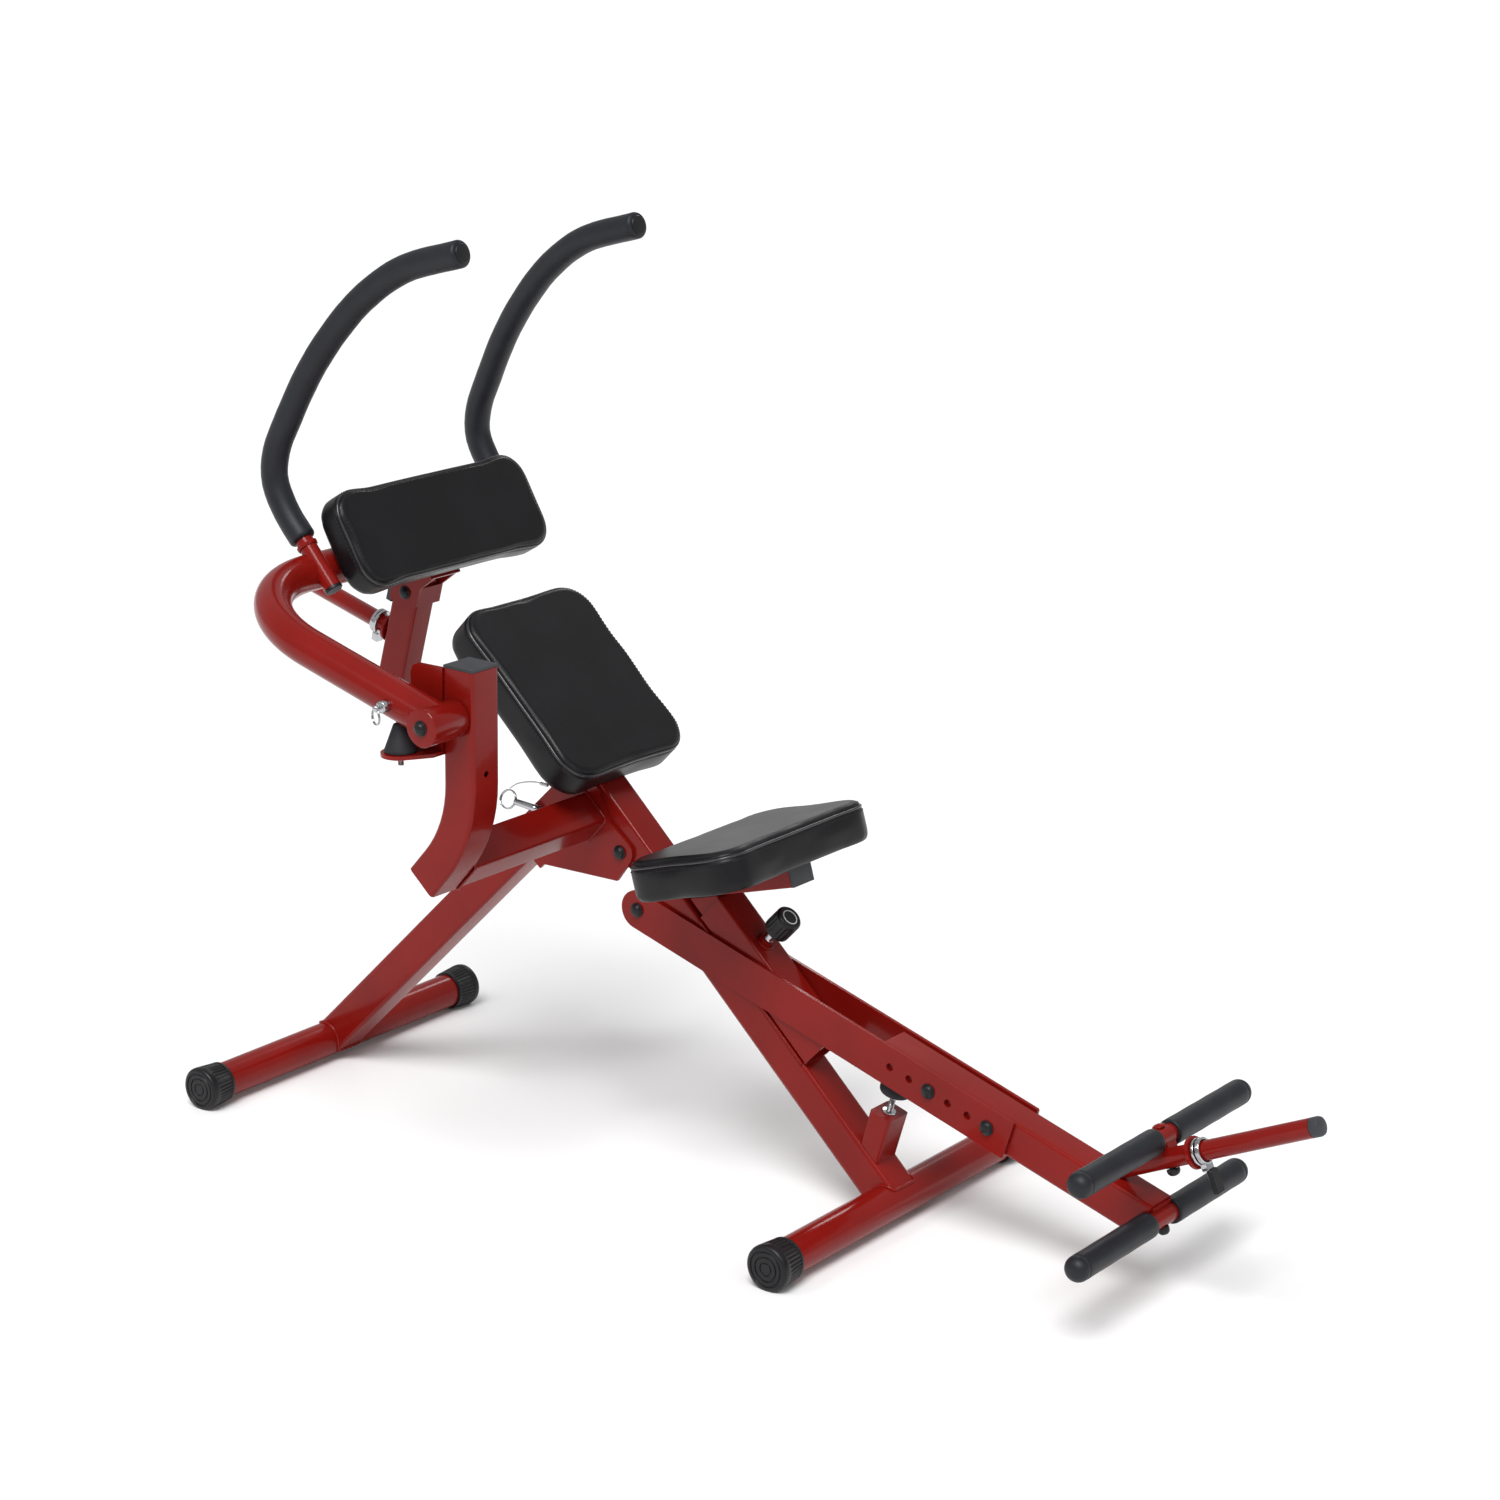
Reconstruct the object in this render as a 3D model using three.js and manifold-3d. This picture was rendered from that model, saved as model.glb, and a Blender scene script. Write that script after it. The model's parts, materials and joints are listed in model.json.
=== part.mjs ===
// Semi-recumbent abdominal bench of the roman chair family.
// Millimetres, +Z up. +X runs from the rear stand to the foot rollers, -Y is the side
// that carries the curved upright and the pivot of the swinging arm.
import * as THREE from 'three';
import { mergeVertices } from 'three/addons/utils/BufferGeometryUtils.js';
import Module from 'manifold-3d';

const wasm = await Module();
wasm.setup();

// ---------------------------------------------------------------- driving dimensions
const GAP = 0.3;                 // clearance between two pieces that touch
const TUBE = 50.8;               // side of the square frame tube
const HALF = TUBE / 2;
const WALL = 2.6;                // wall of the frame tubes
const CORNER = 5;                // outer corner radius of the square tube
const ROUND = 25.4;              // radius of the round frame tube
const SPREAD = 1016;             // distance between the axes of the two floor tubes
const FOOT_Z = 30;               // height of the floor tube axes
const FOOT_HALF = 272;           // half length of a floor tube
const SLOPE = 44;                // slope of the main tube and of the rear leg, degrees
const CAP_LEN = 44;              // length of a floor tube end cap
const CAP_OUT = 31.4;            // outer radius of the cap at its end face
const CAP_RIM = 28.6;            // outer radius of the cap at its rim
const CAP_END = 12;              // how far the cap reaches past the tube

const MAIN_TOP = 892;            // top of the main tube, measured from the front foot axis
const LEG_TOP = 577;             // top of the rear leg, measured from the rear foot axis
const END_PLATE = 3;             // plate that closes the top of the main tube
const BUSH_R = 19;               // barrel behind the main tube, for the leg lever's bolt
const PLATE_T = 5;               // thickness of the fold plates
const FOLD_PIVOT = [576.5, 432.2];
const LOCK_HOLE = [435, 470];
const LOCK_R = 5;
const SLOT_SWEEP = 50;           // arc of the lock pin's slot, degrees

const CROSS_C = [518, 473];      // centre of the cross tube section
const CROSS_TILT = 46.5;         // how far the cross tube section is turned
const UPRIGHT_Y = -321.5;        // middle plane of the curved upright
const UPRIGHT_TOP = [576, 752];
const UPRIGHT_KNEE = [571.5, 533];
const UPRIGHT_END = [501.5, 455.9];
const UPRIGHT_BEND = 172;

const ARM_PIVOT = [571, 690];    // axis of the swinging arm
const ARM_Y = -380;              // middle plane of the arm's long leg
const ARM_HOUSING = [-412, -348.6];
const ARM_CROSS = [187, 801];    // axis of the arm's cross portion
const ARM_BEND = 170;
const ARM_END_Y = 236;           // far end of the cross portion
const ARM_BOLT_R = 6;

const STOP_PLATE_Z = [637, 752]; // shelf and top of the bracket that stops the arm
const STOP_PLATE_T = 5;
const SHELF_R = 26;              // rounded outer corner of the bracket's shelf
const STOP_AT = [506, -381];     // axis of the rubber cone
const STOP_TOP = 679.2;          // where the cone meets the resting arm

const HANDLE_R = 12.7;
const GRIP_R = 18.6;
// height, reach and half spread of the handle's centre line, from the plug to the tip
const HANDLE_LINE = [[226, 785, 208], [183, 834, 208], [141, 882, 207.5], [122, 922, 206.5],
  [126, 960, 205.5], [148, 1006, 203], [187, 1074, 198], [231, 1131, 193],
  [281, 1180, 188], [348, 1222, 183], [449, 1251, 179]];

const HEAD_C = [246, 849];       // centre of the head pad's front face
const HEAD_LEAN = 30;            // the face looks up by this angle
const HEAD_SIZE = [388, 148, 44];
const POST_TILT = 16;            // the arm post leans by this angle from the vertical
const POST_TOP = [187, 752];
const POST_LEN = 170;
const POST_SIZE = [46, 38];
const PAD_BOLT = [2.5, -14];      // bolt of the forked bracket, from the post's top
const PEG_R = 12.7;
const ARM_PEG_DROP = -88;        // height of the peg along the post, below its top
const ARM_PEG_LEN = 190;
const BRACKET_T = 4.5;           // thickness of the forked bracket

const LEVER_PIVOT = [606, 356];
const LEVER_DROP = 17.2;           // slope of the resting leg lever
const LEVER_PLATE_H = 27.4;
const LEVER_PLATE_T = 4.8;
const LEVER_PLATE_END = 633;
const LEVER_HOLES = [440, 471.75, 503.5, 535.25, 567, 598.75];
const LEVER_HOLE_R = 5.6;
const LEVER_STOP = [442, -79];    // axis and top of the post that stops the lever
const EXT_START = 418;
const EXT_END = 843;
const LOWER_BAR = [1416.5, 107];
const UPPER_BAR = [1417, 215.5];
const BAR_R = 12.7;
const ROLLER_R = 17;
const UPPER_IN = 18;             // inner end of an upper roller, from the middle plane
const LOWER_IN = 26.5;           // inner end of a lower roller
const ROLLER_OUT = 204;          // outer end of every roller
const FOOT_PEG_AT = [1344, 152.4];
const FOOT_PEG_LEN = 307;
const FOOT_PEG_RISE = 24.3;

const RECEIVER = [209, 452];     // lower and upper end along the main tube
const SEAT_POST = 44.4;
const SEAT_POST_RANGE = [264, 484];
const SEAT_PIN_S = 372;
const SEAT_SLOT = [270, 372];     // ends of the slot that the seat pin runs in
const SEAT_PIN_R = 5;
const SEAT_TILT = 15.8;
const SEAT_FRONT = [878, 466.5]; // lower front edge of the seat pad
const SEAT_SIZE = [196, 330, 52];
const RAIL_SIZE = [25.4, 44.5];
const RAIL_X = [-188, -25];      // rear and front end of the rail under the seat

const BACK_S = [673, 968];
const BACK_W = 258;
const BACK_T = 50;

const deg = THREE.MathUtils.degToRad;
const UPPER_AT = [UPPER_BAR[0], 0, UPPER_BAR[1]];

// the upper foot bar's place along the peg's axis, and its height above that axis
const barOffset = new THREE.Vector2(UPPER_BAR[0] - FOOT_PEG_AT[0], UPPER_BAR[1] - FOOT_PEG_AT[1])
  .rotateAround(new THREE.Vector2(), -deg(FOOT_PEG_RISE));
const BAR_ALONG = barOffset.x;
const BAR_DROP = barOffset.y;

// ---------------------------------------------------------------- finishes
const finish = (name, color, roughness, metalness) =>
  new THREE.MeshStandardMaterial({ name, color, roughness, metalness });
const RED = finish('red_enamel', 0x8a1a14, 0.28, 0.1);
const VINYL = finish('black_vinyl', 0x1c1c1f, 0.42, 0);
const FOAM = finish('black_foam', 0x24252a, 0.85, 0);
const PLASTIC = finish('black_plastic', 0x17181c, 0.5, 0);
const PLUG = finish('grey_plug', 0x45464a, 0.6, 0);
const RUBBER = finish('black_rubber', 0x1f2023, 0.8, 0);
const CHROME = finish('chrome_steel', 0xc9ccd0, 0.15, 1);
const STEEL = finish('zinc_steel', 0x8d9094, 0.35, 1);

// ---------------------------------------------------------------- solids
function toSolid(geometry) {
  const bare = geometry.clone();
  bare.deleteAttribute('normal');
  bare.deleteAttribute('uv');
  const merged = mergeVertices(bare, 1e-4);
  return new wasm.Manifold(new wasm.Mesh({
    numProp: 3,
    vertProperties: new Float32Array(merged.attributes.position.array),
    triVerts: new Uint32Array(merged.index.array),
  }));
}

function toGeometry(solid) {
  const mesh = solid.getMesh();
  const geometry = new THREE.BufferGeometry();
  geometry.setAttribute('position', new THREE.BufferAttribute(mesh.vertProperties, 3));
  geometry.setIndex(new THREE.BufferAttribute(mesh.triVerts, 1));
  geometry.computeVertexNormals();
  return geometry;
}

const cut = (body, ...tools) =>
  toGeometry(tools.reduce((rest, tool) => rest.subtract(toSolid(tool)), toSolid(body)));

const join = (body, ...others) =>
  toGeometry(others.reduce((sum, other) => sum.add(toSolid(other)), toSolid(body)));

function roundedRect(width, height, radius, steps = 2) {
  const shape = new THREE.Shape();
  const centres = [[1, 1, 0], [-1, 1, 90], [-1, -1, 180], [1, -1, 270]];
  const points = [];
  for (const [sx, sy, start] of centres) {
    for (let i = 0; i <= steps; i += 1) {
      const a = deg(start + (90 * i) / steps);
      points.push(new THREE.Vector2(
        sx * (width / 2 - radius) + radius * Math.cos(a),
        sy * (height / 2 - radius) + radius * Math.sin(a),
      ));
    }
  }
  shape.setFromPoints(points);
  return shape;
}

function circle(radius, segments) {
  const points = [];
  for (let i = 0; i < segments; i += 1) {
    const a = (2 * Math.PI * i) / segments;
    points.push(new THREE.Vector2(radius * Math.cos(a), radius * Math.sin(a)));
  }
  return new THREE.Shape(points);
}

function withHole(outer, inner) {
  outer.holes.push(new THREE.Path(inner.getPoints().reverse()));
  return outer;
}

const tubeSection = (width, height, wall = WALL, corner = CORNER) => withHole(
  roundedRect(width, height, corner),
  roundedRect(width - 2 * wall, height - 2 * wall, Math.max(corner - wall, 1)),
);

const ringSection = (outer, inner, segments, inside = segments) =>
  withHole(circle(outer, segments), circle(inner, inside));

// a prism of a section, along +Z from z0 to z1
function prism(section, z0, z1) {
  const geometry = new THREE.ExtrudeGeometry(section, {
    depth: z1 - z0, bevelEnabled: false, curveSegments: 1,
  });
  geometry.translate(0, 0, z0);
  return geometry;
}

// the same prism laid along +Y, with the section's second axis on +Z
function prismY(section, y0, y1) {
  const geometry = prism(section, 0, y1 - y0);
  geometry.rotateX(Math.PI / 2);
  geometry.translate(0, y1, 0);
  return geometry;
}

const rod = (radius, z0, z1, segments = 24) => prism(circle(radius, segments), z0, z1);
const rodY = (radius, y0, y1, x, z, segments = 24) =>
  prismY(circle(radius, segments), y0, y1).translate(x, 0, z);

// a solid of revolution about +Z, from [radius, height] pairs given in either sense
function turned(pairs, segments = 24) {
  const points = pairs.map(([r, h]) => new THREE.Vector2(r, h));
  if (THREE.ShapeUtils.area(points) < 0) points.reverse();
  return new THREE.LatheGeometry(points, segments).rotateX(Math.PI / 2);
}

const outline = (points) => new THREE.Shape(points.map(([x, z]) => new THREE.Vector2(x, z)));

function box(x0, x1, y0, y1, z0, z1) {
  return new THREE.BoxGeometry(x1 - x0, y1 - y0, z1 - z0)
    .translate((x0 + x1) / 2, (y0 + y1) / 2, (z0 + z1) / 2);
}

// an upholstered pad: rounded outline in X and Y, softened top edge, from z0 up
function padSolid(length, width, thickness, corner) {
  const soft = Math.min(thickness * 0.32, 14);
  const shape = roundedRect(length - 2 * soft, width - 2 * soft, corner - soft, 5);
  const geometry = new THREE.ExtrudeGeometry(shape, {
    depth: thickness - 2 * soft, bevelEnabled: true, bevelThickness: soft,
    bevelSize: soft, bevelSegments: 2, curveSegments: 1,
  });
  return geometry.translate(0, 0, soft);
}

// a curve through straight runs and arcs that keeps every station exactly
class Route extends THREE.Curve {
  constructor(stations) {
    super();
    this.stations = stations;
  }

  get steps() {
    return this.stations.length - 1;
  }

  getSpacedPoints() {
    return this.stations.map((station) => station.point.clone());
  }

  getTangentAt(u, target = new THREE.Vector3()) {
    return target.copy(this.stations[Math.round(u * this.steps)].tangent);
  }
}

// stations of a polyline whose inner corners are bends of the given radius
function filletStations(corners, radius, arcSteps) {
  const last = corners.length - 1;
  const heading = (i) => corners[i + 1].clone().sub(corners[i]).normalize();
  const stations = [{ point: corners[0].clone(), tangent: heading(0) }];
  for (let i = 1; i < last; i += 1) {
    const before = heading(i - 1);
    const after = heading(i);
    const turn = before.angleTo(after);
    const reach = radius * Math.tan(turn / 2);
    const axis = before.clone().cross(after).normalize();
    const start = corners[i].clone().addScaledVector(before, -reach);
    const inward = axis.clone().cross(before);
    const centre = start.clone().addScaledVector(inward, radius);
    for (let k = 0; k <= arcSteps; k += 1) {
      const a = (turn * k) / arcSteps;
      const tangent = before.clone().applyAxisAngle(axis, a);
      const point = inward.clone().negate().applyAxisAngle(axis, a);
      stations.push({ point: point.multiplyScalar(radius).add(centre), tangent });
    }
  }
  stations.push({ point: corners[last].clone(), tangent: heading(last - 1) });
  return stations;
}

function sweep(section, route) {
  return new THREE.ExtrudeGeometry(section, {
    steps: route.steps, bevelEnabled: false, extrudePath: route, curveSegments: 1,
  });
}

// stations of a smooth curve through the given points
function smoothRoute(points, steps, from = 0, to = 1) {
  const curve = new THREE.CatmullRomCurve3(points, false, 'centripetal');
  const stations = [];
  for (let i = 0; i <= steps; i += 1) {
    const u = from + ((to - from) * i) / steps;
    stations.push({ point: curve.getPointAt(u), tangent: curve.getTangentAt(u) });
  }
  return new Route(stations);
}

// ---------------------------------------------------------------- scene helpers
const bench = new THREE.Group();

function add(parent, name, geometry, material, position = [0, 0, 0], turnY = 0) {
  const mesh = new THREE.Mesh(geometry, material);
  mesh.name = name;
  mesh.position.set(...position);
  mesh.rotation.y = deg(turnY);
  parent.add(mesh);
  return mesh;
}

function frameAt([x, z], turnY, y = 0) {
  const group = new THREE.Group();
  group.position.set(x, y, z);
  group.rotation.y = deg(turnY);
  bench.add(group);
  return group;
}

// a bolt along Y with a domed cap on each end
function cappedBolt(radius, y0, y1, capR, capH) {
  const profile = [[0, y0 - capH], [capR * 0.66, y0 - capH * 0.86], [capR, y0 - capH * 0.3],
    [capR, y0], [radius, y0], [radius, y1], [capR, y1], [capR, y1 + capH * 0.3],
    [capR * 0.66, y1 + capH * 0.86], [0, y1 + capH]];
  return turned(profile, 14).rotateX(-Math.PI / 2);
}

// ---------------------------------------------------------------- floor tubes
function floorTube(name, x) {
  const section = ringSection(ROUND, ROUND - WALL, 28, 20);
  add(bench, name, prismY(section, -FOOT_HALF, FOOT_HALF), RED, [x, 0, FOOT_Z]);
}

// a cup over the tube end, flattened where it stands on the floor
function floorCap(name, x, side) {
  const inner = ROUND + GAP;
  const rim = CAP_END - CAP_LEN;
  const cup = turned([[0, CAP_END], [CAP_OUT - 5, CAP_END], [CAP_OUT - 1.6, CAP_END - 1.4],
    [CAP_OUT, CAP_END - 5], [CAP_RIM, rim], [inner, rim], [inner, GAP], [0, GAP]], 28);
  cup.rotateX(side > 0 ? -Math.PI / 2 : Math.PI / 2);
  const floor = box(-60, 60, -60, 60, -FOOT_Z - 40, -FOOT_Z);
  add(bench, name, cut(cup, floor), PLASTIC, [x, side * FOOT_HALF, FOOT_Z]);
}

for (const [stand, x] of [['rear', 0], ['front', SPREAD]]) {
  floorTube(`${stand}_foot`, x);
  floorCap(`${stand}_cap_right`, x, -1);
  floorCap(`${stand}_cap_left`, x, 1);
}

// ---------------------------------------------------------------- main tube
// local frame: +Z up the tube towards the back pad, +X out of its front face
const main = frameAt([SPREAD, FOOT_Z], SLOPE - 90);
const rear = frameAt([0, FOOT_Z], 90 - SLOPE);

// world X and Z of a point to a group's local X and Z
function toLocal(group, [x, z]) {
  group.updateMatrixWorld(true);
  const point = group.worldToLocal(new THREE.Vector3(x, 0, z));
  return [point.x, point.z];
}

const post = frameAt(POST_TOP, POST_TILT);
const head = frameAt(HEAD_C, 90 - HEAD_LEAN);
const foldMain = toLocal(main, FOLD_PIVOT);
const leverMain = toLocal(main, LEVER_PIVOT);
const footCope = () => rodY(ROUND + 2 * GAP, -60, 60, 0, 0, 28);

function buildMainTube() {
  const [n, z] = leverMain;
  const outer = toSolid(prism(roundedRect(TUBE, TUBE, CORNER), 0, MAIN_TOP));
  const inside = roundedRect(TUBE - 2 * WALL, TUBE - 2 * WALL, CORNER - WALL);
  const hollow = toSolid(prism(inside, -10, MAIN_TOP - END_PLATE));
  const barrel = toSolid(rodY(BUSH_R, -HALF, HALF, n, z, 24));
  const web = toSolid(box(n, -HALF + 1, -HALF + 3, HALF - 3, z - 17, z + 17));
  const foldBolt = toSolid(rodY(6.4, -60, 60, ...foldMain, 16));
  const leverBolt = toSolid(rodY(6.4, -60, 60, n, z, 16));
  const body = outer.subtract(hollow).add(web.subtract(outer)).add(barrel)
    .subtract(toSolid(footCope())).subtract(foldBolt).subtract(leverBolt);
  add(main, 'main_tube', toGeometry(body), RED);
}

// slot round the fold bolt that the lock pin runs in as the stands fold
function lockSlot() {
  const dx = LOCK_HOLE[0] - FOLD_PIVOT[0];
  const dz = LOCK_HOLE[1] - FOLD_PIVOT[1];
  const reach = Math.hypot(dx, dz);
  const start = Math.atan2(dz, dx);
  const end = start + deg(SLOT_SWEEP);
  const width = LOCK_R + GAP;
  const band = new THREE.Shape();
  band.absarc(0, 0, reach + width, start, end, false);
  band.absarc(0, 0, reach - width, end, start, true);
  const slot = prismY(new THREE.Shape(band.getPoints(14)), -60, 60);
  const [x, z] = FOLD_PIVOT;
  return join(slot.translate(x, 0, z), rodY(width, -60, 60, ...LOCK_HOLE, 16));
}

// short tube behind the main tube, between the fold plates, that the lock pin bears on
function buildLockStub() {
  const mainBack = toLocal(rear, [SPREAD, FOOT_Z]);
  const tube = prism(tubeSection(TUBE - 0.4, TUBE - 0.4), LEG_TOP + 2, LEG_TOP + 140);
  const slab = new THREE.BoxGeometry(TUBE + 2 * GAP + 200, 200, 1600);
  slab.translate(100, 0, 400);
  slab.rotateY(deg(-2 * (90 - SLOPE)));
  slab.translate(mainBack[0], 0, mainBack[1]);
  const slot = lockSlot().applyMatrix4(rear.matrixWorld.clone().invert());
  add(rear, 'lock_stub', cut(tube, slab, slot), RED);
}

function buildReceiver() {
  const centre = TUBE + GAP;
  const boss = rod(11, HALF - 1.5, HALF + 8, 16).rotateY(Math.PI / 2).translate(0, 0, SEAT_PIN_S);
  const bore = rod(SEAT_PIN_R + GAP, 0, 60, 12).rotateY(Math.PI / 2).translate(0, 0, SEAT_PIN_S);
  const tube = prism(tubeSection(TUBE, TUBE), ...RECEIVER);
  const body = toSolid(tube).add(toSolid(boss)).subtract(toSolid(bore));
  add(main, 'seat_receiver', toGeometry(body), RED, [centre, 0, 0]);
}

// stop of the resting leg lever: a square post with a rubber buffer on a stud
function buildLeverStop() {
  const lever = frameAt(LEVER_PIVOT, LEVER_DROP);
  lever.updateMatrixWorld(true);
  main.updateMatrixWorld(true);
  const toLever = lever.matrixWorld.clone().invert().multiply(main.matrixWorld);
  const mainTool = new THREE.BoxGeometry(400, 200, 1400).translate(HALF + GAP - 200, 0, 300);
  const bore = rod(4.4, LEVER_STOP[1] - 8, LEVER_STOP[1] + 2, 12);
  const post = prism(tubeSection(34, 44, WALL, 4), -190, LEVER_STOP[1] - 4);
  const lid = prism(roundedRect(34, 44, 4), LEVER_STOP[1] - 4.5, LEVER_STOP[1]);
  const body = toSolid(post).add(toSolid(lid)).subtract(toSolid(bore));
  const shifted = toGeometry(body).translate(LEVER_STOP[0], 0, 0);
  add(lever, 'stop_post',
    cut(shifted, mainTool.applyMatrix4(toLever), footCope().applyMatrix4(toLever)), RED);
  const top = -LEVER_PLATE_H - GAP;
  const buffer = turned([[0, top], [13, top], [16, top - 3], [21.5, top - 14],
    [21.5, top - 18], [20, top - 21], [4, top - 21], [4, LEVER_STOP[1] - 14],
    [0, LEVER_STOP[1] - 14]], 20);
  add(lever, 'stop_bumper', buffer, RUBBER, [LEVER_STOP[0], 0, 0]);
}

function buildBackPad() {
  const length = BACK_S[1] - BACK_S[0];
  const solid = padSolid(length, BACK_W, BACK_T, 46);
  solid.rotateY(Math.PI / 2);
  add(main, 'back_pad', solid, VINYL,
    [HALF + GAP, 0, (BACK_S[0] + BACK_S[1]) / 2]);
}

function buildFoldBolt() {
  const outer = HALF + 2 * GAP + PLATE_T;
  add(main, 'fold_bolt', cappedBolt(6, -outer - GAP, outer + GAP, 9.5, 7), PLASTIC,
    [foldMain[0], 0, foldMain[1]]);
}

// ---------------------------------------------------------------- seat
function buildSeat() {
  const centre = TUBE + GAP;
  const post = prism(tubeSection(SEAT_POST, SEAT_POST, WALL, 4), ...SEAT_POST_RANGE);
  const [low, high] = SEAT_SLOT;
  const ends = [low, high].map((s) =>
    rod(SEAT_PIN_R + GAP, 0, 60, 12).rotateY(Math.PI / 2).translate(0, 0, s));
  const slot = box(0, 60, -SEAT_PIN_R - GAP, SEAT_PIN_R + GAP, low, high);
  const seat = frameAt(SEAT_FRONT, -SEAT_TILT);
  seat.updateMatrixWorld(true);
  const toMain = new THREE.Matrix4().copy(main.matrixWorld).invert().multiply(seat.matrixWorld);
  const above = box(-600, 200, -100, 100, -RAIL_SIZE[0] - 2 * GAP, 300).applyMatrix4(toMain);
  above.translate(-centre, 0, 0);
  add(main, 'seat_post', cut(post, above, slot, ...ends), RED, [centre, 0, 0]);
  const rail = prism(tubeSection(...RAIL_SIZE, 2, 3), RAIL_X[0], RAIL_X[1]);
  rail.rotateY(Math.PI / 2).translate(0, 0, -RAIL_SIZE[0] / 2 - GAP);
  add(seat, 'seat_rail', rail, RED);
  const end = RAIL_X[1];
  const plug = join(
    box(end + GAP, end + 5, -RAIL_SIZE[1] / 2 + 0.3, RAIL_SIZE[1] / 2 - 0.3,
      -RAIL_SIZE[0] - GAP + 0.3, -GAP - 0.3),
    box(end - 14, end + 1, -RAIL_SIZE[1] / 2 + 3, RAIL_SIZE[1] / 2 - 3,
      -RAIL_SIZE[0] + 3, -3.5),
  );
  add(seat, 'seat_rail_plug', plug, PLUG);
  const pad = padSolid(SEAT_SIZE[0], SEAT_SIZE[1], SEAT_SIZE[2], 44);
  add(seat, 'seat_pad', pad, VINYL, [-SEAT_SIZE[0] / 2, 0, 0]);
}

// sprung pop pin: the plain tip sits in the post, the knob stands off the receiver
function buildSeatPin() {
  const start = TUBE + GAP;
  const face = start + HALF + 8 + GAP;
  const pin = turned([[0, start + 15], [SEAT_PIN_R, start + 15], [SEAT_PIN_R, face],
    [8, face], [8, face + 16], [17, face + 17], [18.5, face + 20], [18.5, face + 48],
    [16.5, face + 51], [0, face + 51]], 18);
  pin.rotateY(Math.PI / 2);
  add(main, 'seat_pin', pin, PLASTIC, [0, 0, SEAT_PIN_S]);
}

// ---------------------------------------------------------------- rear frame
function buildRearLeg() {
  const tube = prism(tubeSection(TUBE, TUBE), 0, LEG_TOP);
  add(rear, 'rear_leg', cut(tube, footCope()), RED);
}

function buildFoldPlates() {
  const edge = [[398, 447.3], [506, 551.6], [541, 513], [557, 473], [590, 447],
    [597, 440], [598, 430], [594, 421], [571, 390.3], [440, 389], [432.5, 381.5], [398, 411]];
  const cutouts = [rodY(6.4, -60, 60, ...FOLD_PIVOT), rodY(LOCK_R + GAP, -60, 60, ...LOCK_HOLE, 16)];
  for (const [name, side] of [['right', -1], ['left', 1]]) {
    const near = side * (HALF + GAP);
    const far = side * (HALF + GAP + PLATE_T);
    const plate = prismY(outline(edge), Math.min(near, far), Math.max(near, far));
    add(bench, `leg_plate_${name}`, cut(plate, ...cutouts), RED);
  }
}

function buildCrossTube() {
  const inner = -(HALF + PLATE_T + 2 * GAP);
  const outer = UPRIGHT_Y + HALF + GAP;
  const tube = prismY(tubeSection(TUBE, TUBE), outer, inner);
  tube.rotateY(deg(90 - CROSS_TILT));
  add(bench, 'cross_tube', tube, RED, [CROSS_C[0], 0, CROSS_C[1]]);
}

function buildUpright() {
  const corners = [UPRIGHT_TOP, UPRIGHT_KNEE, UPRIGHT_END]
    .map(([x, z]) => new THREE.Vector3(x, 0, z));
  const route = new Route(filletStations(corners, UPRIGHT_BEND, 8));
  const tube = sweep(tubeSection(TUBE, TUBE), route);
  const bolt = rodY(ARM_BOLT_R + GAP, -60, 60, ...ARM_PIVOT);
  const hole = rod(4.5, 0, 60, 12).rotateY(Math.PI / 2).translate(574, 0, 614);
  add(bench, 'upright', cut(tube, bolt, hole), RED, [0, UPRIGHT_Y, 0]);
  const lean = Math.atan2(UPRIGHT_TOP[0] - UPRIGHT_KNEE[0], UPRIGHT_TOP[1] - UPRIGHT_KNEE[1]);
  const plug = join(
    box(-HALF + 0.6, HALF - 0.6, -HALF + 0.6, HALF - 0.6, GAP, 4),
    box(-HALF + 4, HALF - 4, -HALF + 4, HALF - 4, -14, 1),
  );
  add(bench, 'upright_plug', plug, PLUG, [UPRIGHT_TOP[0], UPRIGHT_Y, UPRIGHT_TOP[1]],
    THREE.MathUtils.radToDeg(lean));
}

// bracket behind the upright: a side plate, and a shelf that carries the rubber buffer
function buildArmStop() {
  const side = UPRIGHT_Y - HALF;
  const rearAt = (z) => {
    const share = (z - UPRIGHT_KNEE[1]) / (UPRIGHT_TOP[1] - UPRIGHT_KNEE[1]);
    return UPRIGHT_KNEE[0] + share * (UPRIGHT_TOP[0] - UPRIGHT_KNEE[0]) - HALF - 2 * GAP;
  };
  const [low, high] = STOP_PLATE_Z;
  const plate = outline([[495, low], [rearAt(low), low], [rearAt(high), high], [508, high],
    [499, high - 4], [495, high - 13]]);
  const wall = prismY(plate, side, side + STOP_PLATE_T);
  const shelf = new THREE.Shape();
  shelf.moveTo(rearAt(low), side + STOP_PLATE_T);
  shelf.lineTo(STOP_AT[0] - SHELF_R, side + STOP_PLATE_T);
  shelf.absarc(...STOP_AT, SHELF_R, Math.PI, 1.75 * Math.PI, false);
  shelf.lineTo(rearAt(low), side - 18);
  const plateau = prism(new THREE.Shape(shelf.getPoints(7)), low, low + STOP_PLATE_T);
  const bore = rod(4.4, low - 20, low + 20, 12).translate(...STOP_AT, 0);
  const body = toSolid(wall).add(toSolid(plateau)).subtract(toSolid(bore));
  add(bench, 'arm_stop_bracket', toGeometry(body), RED);
  const top = low + STOP_PLATE_T + GAP;
  const cone = turned([[0, low - 13], [4, low - 13], [4, top], [21, top], [21, top + 4],
    [8, STOP_TOP], [0, STOP_TOP]], 20);
  add(bench, 'arm_bumper', cone, RUBBER, [...STOP_AT, 0]);
}

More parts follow.
